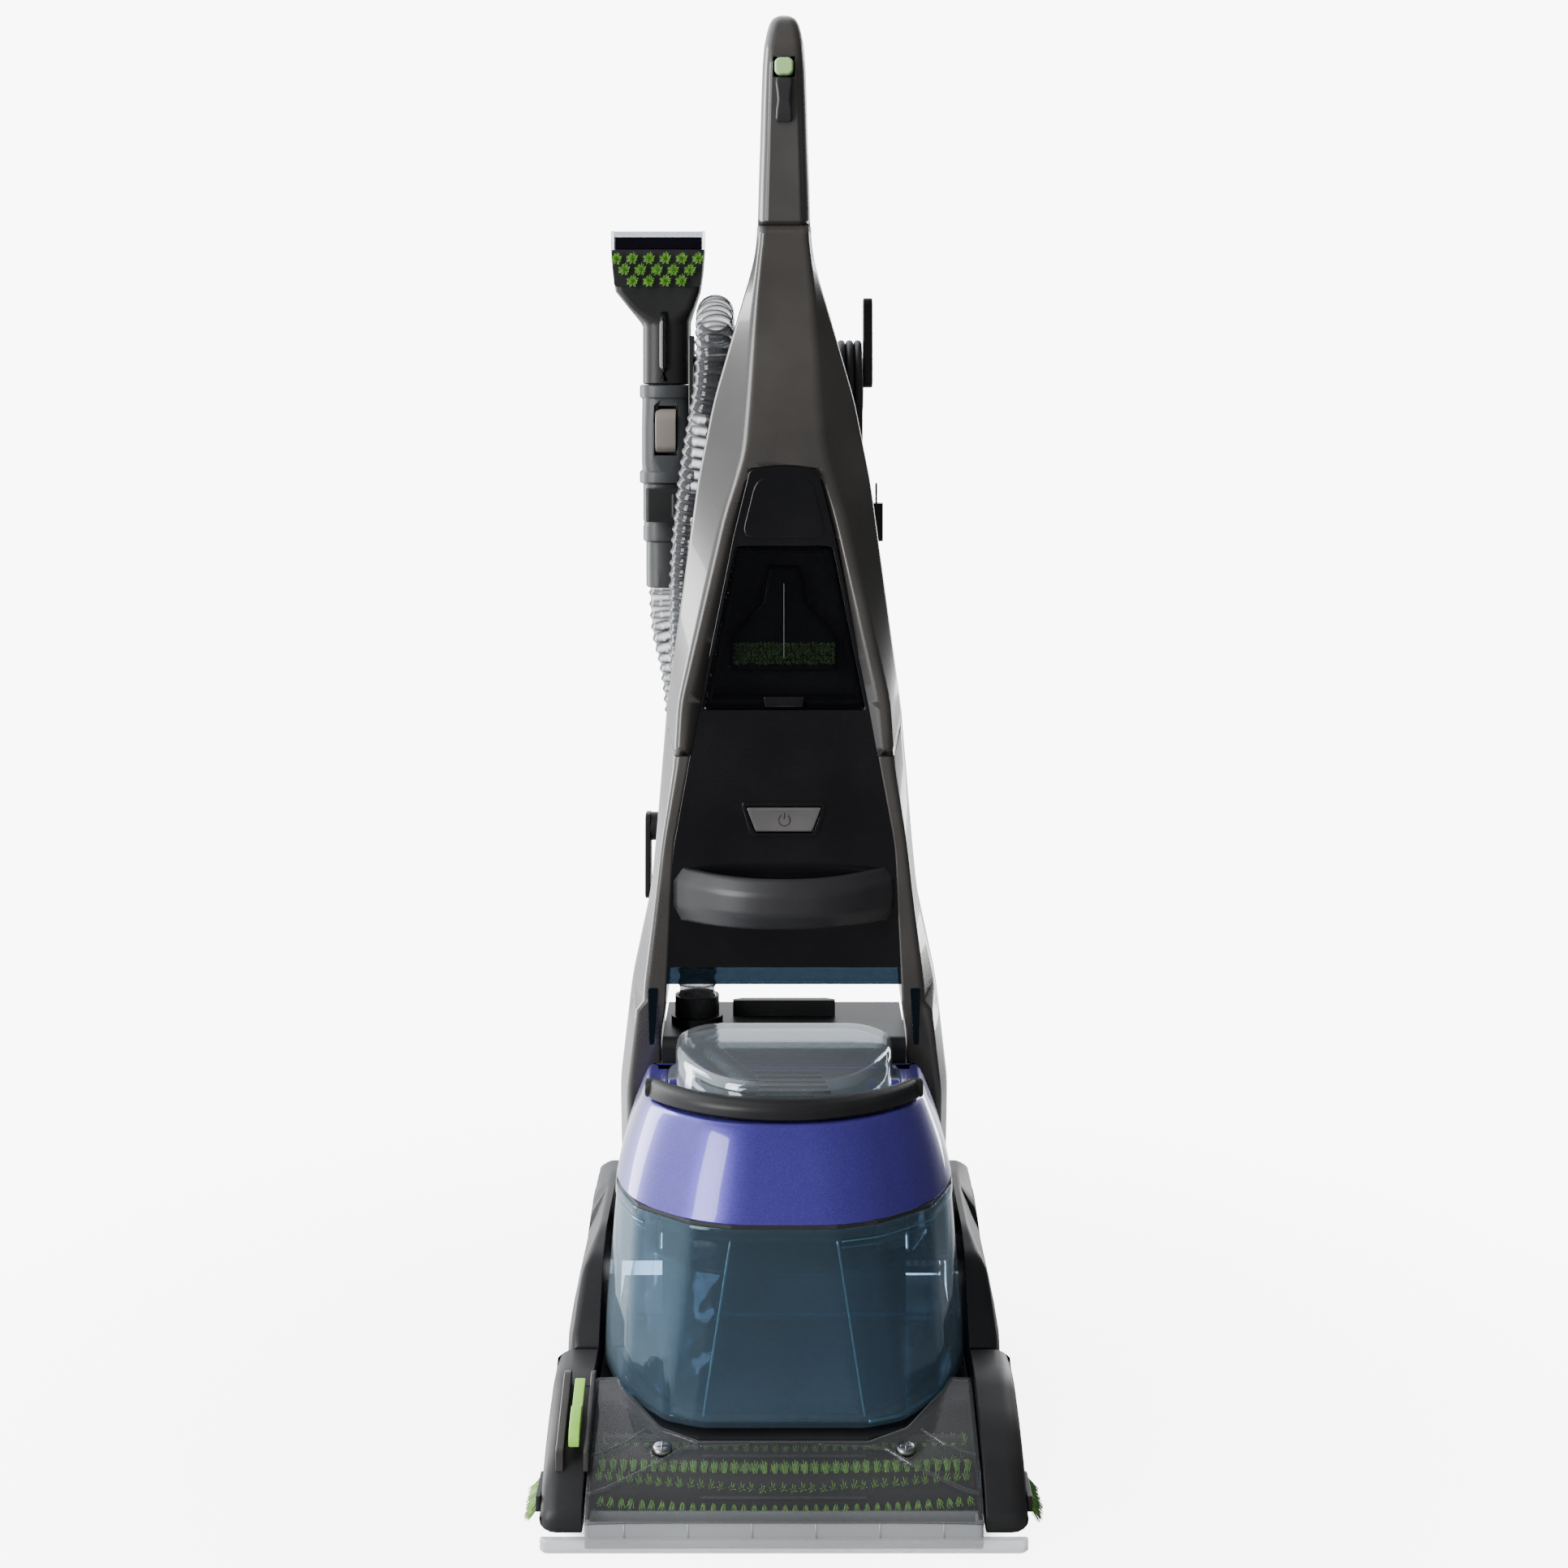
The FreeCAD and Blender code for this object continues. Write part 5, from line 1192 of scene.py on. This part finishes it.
# %% Brush rolls and edge brushes
cheeks = []
for side in (-1, 1):
    sheet = [(-226, 6), (-116, 6), (-116, 65), (-140, 58), (-173, 47), (-195, 39), (-215, 28), (-226, 19)]
    cheeks.append(side_loft(sheet, 1, [(side * 134.6, 0), (side * 137.2, 0)]))
journals = [lathe([(-139, 4.6), (139, 4.6)], (0, y, ROLL_Z), segments=24) for y in ROLL_YS]
piece("roll_chamber", joined(*cheeks), BLACK, "base", bevel=0, cut_by=journals)
for name, y, phase in (("front", ROLL_YS[0], 0.0), ("rear", ROLL_YS[1], 0.5)):
    spots = []
    for row in range(6):
        for i in range(37):
            x = -129 + 258 * i / 36
            turn = math.pi / 3 * row + 0.55 * math.sin(math.pi * i / 36) + phase
            way = (0, math.cos(turn), math.sin(turn))
            spots.append(((x + 1.8 * (row % 2) - 0.9, y + 11.6 * way[1], ROLL_Z + 11.6 * way[2]), way, 1.0))
    scatter(name + "_roll_bristles", tuft(8.7, 2.6, 8, 0.5), spots, BRISTLE, name + "_roll", wobble=0.12,
            slot="green_bristle")
    core = lathe([(-141.3, 3.8), (-134, 4), (-134, 12), (-133, 12.4), (133, 12.4), (134, 12), (134, 4), (142, 4),
                  (142, 8), (142.6, 9), (153.4, 9), (154, 8)], (0, y, ROLL_Z), segments=40)
    piece(name + "_roll_core", core, BLACK, name + "_roll", [name + "_brush_roll"], bevel=0.3)

# The left edge brush, on the side the key light comes from, takes the paler painted-light copy of the green; the right
# one takes the darker painted-shade copy.
for side, finish, name in ((-1, BRISTLE_PAINTED_LIT, "left"), (1, BRISTLE_PAINTED_SHADE, "right")):
    spots = []
    for i in range(9):
        for row in range(2):
            spots.append(((side * 171.2, -209.5 + 4.2 * i, 26 - 4.5 * row), (side * 0.62, -0.15, -0.8), 1.0))
    extra = {"replaces": ["edge_brushes"]} if side < 0 else {}
    scatter(name + "_edge_bristles", tuft(12.5, 2.2, 10, 0.45), spots, finish, "base", wobble=0.16,
            slot="green_bristle", **extra)
    low, high = sorted((side * 169.0, side * 172.6))
    piece(name + "_edge_bar", block((low, high), (-213, -173), (18.5, 29.5), 1.2), BLACK, "base",
          bevel=0.5)
print("base dressed")

# %% [markdown]
# ## Wand, stain tool and their holder
# The wand hangs at the left with its suction head up. It is a stack of turned parts with a squarer grip among them, and
# a long flat trigger. The stain tool on top flares to a wide lip, with three rows of tufts on its face.

# %% Wand and stain tool
WX, WY = -101, 211


def wand_ring(z, half_x, half_y, radius, y=WY, x=WX):
    return ring_z(rounded([(x + half_x, y - half_y), (x + half_x, y + half_y), (x - half_x, y + half_y),
                           (x - half_x, y - half_y)], radius, 6), z)


WAND = [(622, 16.6, 9), (623, 17.8, 9), (640, 18, 9), (661, 18, 9), (662.5, 20.4, 9.4), (674, 20.5, 9.4),
        (675, 19.9, 9.4), (679, 19.9, 9.4), (680, 20.5, 9.4), (711, 20.5, 9.4), (712, 23.2, 10.8), (713, 23.5, 10.8),
        (721, 23.5, 10.8), (722, 22.4, 10.8), (723, 21.2, 8), (730, 21.4, 7), (760, 21.4, 7), (784, 21.2, 8),
        (785, 22.8, 10.8), (786, 23.5, 10.8), (795, 23.5, 10.8), (796, 22.4, 10.8)]
wand = loft([wand_ring(z, r, r, 2.1 * q) for z, r, q in WAND])
pocket = loft([ring_z(rounded([(WX + 9.8, 180), (WX + 9.8, 203.8), (WX - 9.8, 203.8), (WX - 9.8, 180)], 2), z)
               for z in (735.8, 778.2)])
piece("wand_shell", wand, WAND_BLACK, "upright", ["wand_body"], bevel=0.4, sharp=50, cut_by=[pocket])
lever = side_loft([(187, 742), (185.2, 768), (191, 776), (200, 776), (200, 738), (191, 738)], [4, 4, 3, 1, 1, 3],
                  [(WX - 8.9, 1.2), (WX - 8, 0.2), (WX + 8, 0.2), (WX + 8.9, 1.2)])
piece("wand_lever", lever, WAND_GREY, "wand_trigger", ["wand_trigger"], bevel=0)
screw = joined(lathe([(0, 2.8), (0.8, 2.8), (1.2, 2.2)], (0, 0, 0), "z", 16),
               block((-1.8, 1.8), (-0.3, 0.3), (1.1, 1.5), 0.2), block((-0.3, 0.3), (-1.8, 1.8), (1.1, 1.5), 0.2))
scatter("wand_screws", screw, [((WX + dx, WY - 20.4, 703), (0, -1, 0), 1.0) for dx in (-7.5, 7.5)], STEEL, "upright",
        wobble=0, slot="screw_steel")

HX = WX - 7.3
head = [(796.4, 19.5, 19.5, WX, 0), (797.4, 20.8, 20.8, WX, 0), (846, 20.8, 20.8, WX, 0), (850, 22, 20.8, WX - 1, 0),
        (862, 28.5, 19.5, WX - 4, -1), (876, 36.4, 17.4, HX, -2.2), (892, 38.8, 15, HX, -4),
        (911, 40.3, 12.2, HX, -5.8), (912, 40.3, 12, HX, -6)]
rings = [wand_ring(z, hx, hy, min(hx, hy) * (1.0 if z < 860 else 0.45), WY + dy, x) for z, hx, hy, x, dy in head]
lip_out = [(HX - 40.3, WY - 14), (HX + 40.3, WY - 14), (HX + 40.3, WY + 2), (HX - 40.3, WY + 2)]
lip_in = [(HX - 38, WY - 11.6), (HX + 38, WY - 11.6), (HX + 38, WY - 0.6), (HX - 38, WY - 0.6)]
plate = prism_y(rounded([(HX - 39.8, 911), (HX + 39.8, 911), (HX + 37, 880), (HX - 37, 880)], 3), WY - 20, WY - 16.8)
piece("stain_head", joined(loft(rings), plate), BLACK, "stain_tool", ["stain_tool"], bevel=0.6,
      sharp=50)
lip = loft([ring_z(rounded(lip_out, 3), 912.2), ring_z(rounded(lip_out, 3), 928), ring_z(rounded(lip_in, 2), 928),
            ring_z(rounded(lip_in, 2), 912.2)], loop=True)
piece("stain_lip", lip, COVER_SMOKED, "stain_tool", bevel=0.4, sharp=60)
core = block((HX - 37.4, HX + 37.4), (WY - 11, WY - 1.2), (912.4, 923), 1.5)
piece("stain_lip_core", core, VIOLET_BLACK, "stain_tool", bevel=0.5)
spray = tube([(WX - 2, WY - 20.6, 800), (WX - 2, WY - 22.4, 812), (WX - 2, WY - 22.6, 848),
              (WX - 2, WY - 20, 858)], 3.4, 12)
piece("spray_tube", spray, GLOSS_BLACK, "stain_tool", bevel=0)
spots = []
for row, count in enumerate((6, 5, 4)):
    for i in range(count):
        spots.append(((HX + (i - (count - 1) / 2) * 14.0, WY - 19.6, 904 - 9.5 * row), (0, -1, 0), 1.0))
scatter("stain_tufts", tuft(7.2, 4.3, 34, 0.55), spots, BRISTLE, "stain_tool", wobble=0.05, slot="green_bristle")

# %% Hose hooks and cord hook
saddle = lathe([(-47.8, 25), (0, 25)], (-28.2, 165, 796), segments=56)
blades = [side_loft([(147, 771), (183, 771), (181, 838), (149, 838)], 9,
                    [(-80, 0.6), (-79.4, 0), (-76.4, 0), (-75.8, 0.6)]),
          side_loft([(171, 360), (199, 360), (197, 432), (173, 432)], 8,
                    [(-118, 0.8), (-117.2, 0), (-113.8, 0), (-113, 0.8)])]
low = lathe([(-88.8, 12), (0, 12)], (-28.2, 185, 420), segments=40)
clip_post = block((-60, -28), (176, 192), (592, 610), 3)
clip_ring = loft([ring_z(rounded([(-47 + 20 * math.cos(a), 208 + 20 * math.sin(a)) for a in
                                  (2 * math.pi * k / 12 for k in range(12))], 6, 2), z) for z in (590, 591, 611, 612)])
arm = joined(block((-96, -28), (170, 182), (684, 704), 3), block((-118, -84), (172, 190), (680, 708), 4))
piece("hose_hook_set", joined(saddle, low, clip_post, clip_ring, arm, *blades), BLACK, "upright", ["hose_hooks"],
      bevel=0.8, sharp=45)
post = lathe([(28.6, 9), (44, 9), (44, 18.6), (45, 20), (66, 20), (67, 19)], (0, HOOK_Y, HOOK_Z), segments=48)
blade = side_loft([(163, 794), (189, 794), (186, 870), (166, 870)], 8, [(67, 0.8), (67.8, 0), (74.2, 0), (75, 0.8)])
pin = lathe([(21, 3.8), (30, 3.8)], (0, HOOK_Y, HOOK_Z), segments=20)
piece("cord_hook_arm", joined(post, blade, pin), BLACK, "cord_hook", ["cord_hook"],
      bevel=0.6, sharp=45)

# %% [markdown]
# ## Hoses
# On the real machine one clear hose runs from the base, up the back, over the top hook and round to the wand. It is
# opened here at the clip on the back: the lower part is a fixed shape that stays put when the upright leans, and the
# upper part hangs between its hooks. Each follows the same points as the imported model, in metres.

# %% Corrugated hoses
HOSE_ROUTE = [(-.047, .208, .612), (-.047, .208, .675), (-.051, .210, .745), (-.056, .210, .800), (-.058, .200, .842),
              (-.058, .165, .862), (-.058, .130, .842), (-.059, .120, .798), (-.067, .128, .755), (-.076, .143, .700),
              (-.081, .149, .640), (-.081, .148, .575), (-.080, .143, .510), (-.081, .139, .455), (-.082, .144, .405),
              (-.083, .185, .381), (-.084, .226, .405), (-.084, .233, .455), (-.087, .228, .505), (-.092, .222, .555),
              (-.101, .211, .590), (-.101, .211, .622)]
BASE_HOSE_ROUTE = [(-.071, .097, .299), (-.071, .097, .330), (-.064, .098, .366), (-.055, .106, .402),
                   (-.049, .124, .438), (-.047, .152, .472), (-.046, .184, .508), (-.047, .208, .550),
                   (-.047, .208, .590)]
LID_HOSE_ROUTE = [(-.056, .020, .272), (-.046, -.006, .271), (-.036, -.032, .270), (-.024, -.058, .2685)]


def route_curve(name, points, resolution=8):
    data = bpy.data.curves.new(name, "CURVE")
    data.dimensions = "3D"
    data.resolution_u = resolution
    spline = data.splines.new("NURBS")
    spline.points.add(len(points) - 1)
    for target, point in zip(spline.points, points):
        target.co = (*point, 1)
    spline.order_u = 3
    spline.use_endpoint_u = True
    obj = bpy.data.objects.new(name, data)
    bpy.context.scene.collection.objects.link(obj)
    return obj


def line_of(curve):
    return [tuple(v.co) for v in made_mesh(curve).vertices]


def hose_finish(name, tint, body, ridge_colour, edge, cover, ridge_cover):
    """Clear wall between ridges, and a nearly solid ring on each ridge."""
    f = Finish(name)
    ridge = f.sock(f.node("ShaderNodeAttribute", {"attribute_name": "ridge"}), "Fac")
    facing = f.sock(f.node("ShaderNodeLayerWeight", None, Blend=0.45), "Facing")
    haze = f.noise(30.0, 2.0)
    amount = cover + ridge_cover * ridge + 0.6 * facing ** 3.0 + 0.08 * haze
    window = f.node("ShaderNodeBsdfTransparent", None, Color=tint)
    wall = f.mix(ridge, f.mix(haze, body, edge), ridge_colour)
    gloss = f.surface(wall, 0.10 + 0.06 * haze, Metallic=0.5)
    return f.glazed(amount, window, gloss)


HOSE_CLEAR = hose_finish("hose_clear", (0.58, 0.59, 0.60), (0.24, 0.245, 0.25), (0.030, 0.030, 0.034),
                         (0.08, 0.08, 0.085), 0.26, 0.68)
HOSE_SMALL = hose_finish("lid_hose_clear", (0.6, 0.64, 0.68), (0.2, 0.22, 0.24), (0.02, 0.025, 0.03),
                         (0.02, 0.025, 0.03), 0.4, 0.6)


def hose(name, points, radius, ridge, pitch, finish):
    curve = route_curve(name, points)
    line = line_of(curve)
    made = run_nodes(curve, CORRUGATED, {"Radius": radius, "Ridge": ridge, "Pitch": pitch, "Finish": finish})
    for face in made.data.polygons:
        face.use_smooth = True
    return made, line


def length_of(line):
    return sum((Vector(b) - Vector(a)).length for a, b in zip(line, line[1:]))


upper_hose, line = hose("hose_upper", HOSE_ROUTE, 0.0142, 0.0018, 0.0095, HOSE_CLEAR)
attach(upper_hose, "upright")
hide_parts("accessory_hose")
print("upper hose", round(length_of(line), 3), "m")
lower_hose, line = hose("hose_lower", BASE_HOSE_ROUTE, 0.0142, 0.0018, 0.0095, HOSE_CLEAR)
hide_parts("base_hose")
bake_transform(lower_hose)
print("lower hose", round(length_of(line), 3), "m")
lid_line, line = hose("lid_hose_tube", LID_HOSE_ROUTE, 0.0070, 0.0012, 0.0062, HOSE_SMALL)
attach(lid_line, "lid")
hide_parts("lid_hose")

# %% [markdown]
# ## The power cord
# One line, from where it leaves the back to the neck of the plug. It is wound in three layers of three turns round the
# upper hook and the lower post. Within a layer each turn moves over by one cord while it climbs the back, and the last
# stretch crosses behind the others on its way to the plug.

# %% Wound cord
CORD_RADIUS = 0.0034
POST_Y, POST_TOP, POST_LOW = 0.176, 0.793, 0.520
COLUMNS = (0.0485, 0.0555, 0.0625)
LAYERS = (0.0242, 0.0314, 0.0385)
lead = [(.053, .160, .440), (.066, .160, .440), (.079, .163, .445), (.088, .169, .458), (.091, .179, .475),
        (.0885, .190, .492), (.083, .197, .512), (.076, .200, .534)]
turns = []
for layer, radius in enumerate(LAYERS):
    order = (2, 1, 0) if layer % 2 == 0 else (0, 1, 2)
    turns += [(COLUMNS[c], radius) for c in order]
cord_points = list(lead)
for k, (x, radius) in enumerate(turns):
    for i in range(5):
        t = (i + 0.5) / 5
        ease = t * t * (3 - 2 * t)
        from_x, from_radius = (turns[k - 1] if k else (x, radius))
        cord_points.append((from_x + (x - from_x) * ease, POST_Y + from_radius + (radius - from_radius) * ease,
                            0.556 + (0.780 - 0.556) * t))
    wide = radius * 1.012
    for i in range(9):
        a = math.pi * i / 8
        cord_points.append((x, POST_Y + wide * math.cos(a), POST_TOP + wide * math.sin(a)))
    for i in range(4):
        cord_points.append((x, POST_Y - radius, 0.75 - 0.065 * i))
    for i in range(9):
        a = math.pi + math.pi * i / 8
        cord_points.append((x, POST_Y + wide * math.cos(a), POST_LOW + wide * math.sin(a)))
cord_points += [(.0495, .2150, .548), (.0520, .2190, .566), (.0580, .2215, .582), (.0660, .2210, .594),
                (.0730, .2150, .604), (.0765, .2040, .612), (.0765, .1915, .619), (.0740, .1815, .628),
                (.0722, .1765, .638), (.0720, .1760, .650)]
power_cord = route_curve("power_cord", cord_points, 4)
power_cord.data.bevel_depth = CORD_RADIUS
power_cord.data.bevel_resolution = 3
power_cord.data.use_fill_caps = True
bare = route_curve("bare", cord_points, 4)
line = line_of(bare)
bpy.data.objects.remove(bare)
power_cord.data.materials.append(CORD_BLACK)
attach(power_cord, "upright")
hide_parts("cord_lead", "cord_hank")
print("power cord", round(length_of(line), 2), "m in", len(turns), "turns")

# %% [markdown]
# ## Finishes for the pieces shown as packed
# What is left keeps the imported shape: motors, pump, chassis, housing, axles and the plug. Each takes its own finish,
# and the pieces listed in SOFTENED take a softened edge as well, so that they don't read as plain blocks.

# %% Paint the imported pieces
PACKED = {"base_chassis": BLACK, "base_housing": BLACK, "brush_motor": MOTOR, "motor_pulley": STEEL,
          "drive_belt": RUBBER, "vacuum_motor": MOTOR, "impeller": CHARCOAL, "water_pump": CHARCOAL,
          "spray_bar": CHARCOAL, "wheel_axles": STEEL, "pivot_pins": STEEL, "hose_collar": BLACK,
          "lid_gasket": RUBBER, "lower_back": CHARCOAL, "storage_bin": BLACK, "plug": BLACK,
          "strain_relief": RUBBER}
SOFTENED = {"base_housing": 2.0, "base_chassis": 0.8, "hose_collar": 1.2, "plug": 1.0, "lower_back": 0.8,
            "water_pump": 1.5, "brush_motor": 1.0, "vacuum_motor": 1.5, "storage_bin": 0.6}
for name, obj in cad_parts.items():
    obj.data.materials.clear()
    obj.data.materials.append(PACKED.get(name, BLACK))
    for face in obj.data.polygons:
        face.material_index = 0
    if name in SOFTENED:
        soften(obj, SOFTENED[name], 40)
print("painted", len(PACKED), "packed pieces")

# %% [markdown]
# ## Floor
# The floor is pale and fades out a little way from the machine, so that only its shadow marks where it stands. Within
# the machine's footprint it turns opaque and is painted near-black, a painted shadow under the machine.

# %% Floor
mesh = bpy.data.meshes.new("floor")
mesh.from_pydata([(-2.5, -2.5, -0.0005), (2.5, -2.5, -0.0005), (2.5, 2.5, -0.0005), (-2.5, 2.5, -0.0005)], [],
                 [(0, 1, 2, 3)])
floor = bpy.data.objects.new("floor", mesh)
bpy.context.scene.collection.objects.link(floor)
f = Finish("floor_pale")
reach = f.sock(f.node("ShaderNodeVectorMath", {"operation": "LENGTH"}, i0=f.place()), "Value")
spread = f.sock(f.node("ShaderNodeVectorMath", {"operation": "ABSOLUTE"}, i0=f.place()))
axes = f.node("ShaderNodeSeparateXYZ", None, Vector=spread)
# under masks the machine's footprint: there the floor is made opaque and painted near-black as a painted shadow.
under = (1.0 - f.sock(axes, 0).clear_of(0.135, 0.165)) * (1.0 - f.sock(axes, 1).clear_of(0.205, 0.232))
lit = 0.34 * (1.0 - reach.clear_of(0.12, 0.85))
near = lit.maths("MAXIMUM", lit, under)
cloud = f.noise(1.3, 2.0)
# Inside the footprint the pale colour gives way to near-black, a painted shadow.
pale = f.surface(f.mix(under, f.mix(cloud, (0.90, 0.90, 0.91), (0.94, 0.94, 0.94)), (0.03, 0.03, 0.03)),
                 0.55 + 0.1 * cloud)
floor.data.materials.append(f.glazed(near, f.node("ShaderNodeBsdfTransparent"), pale))
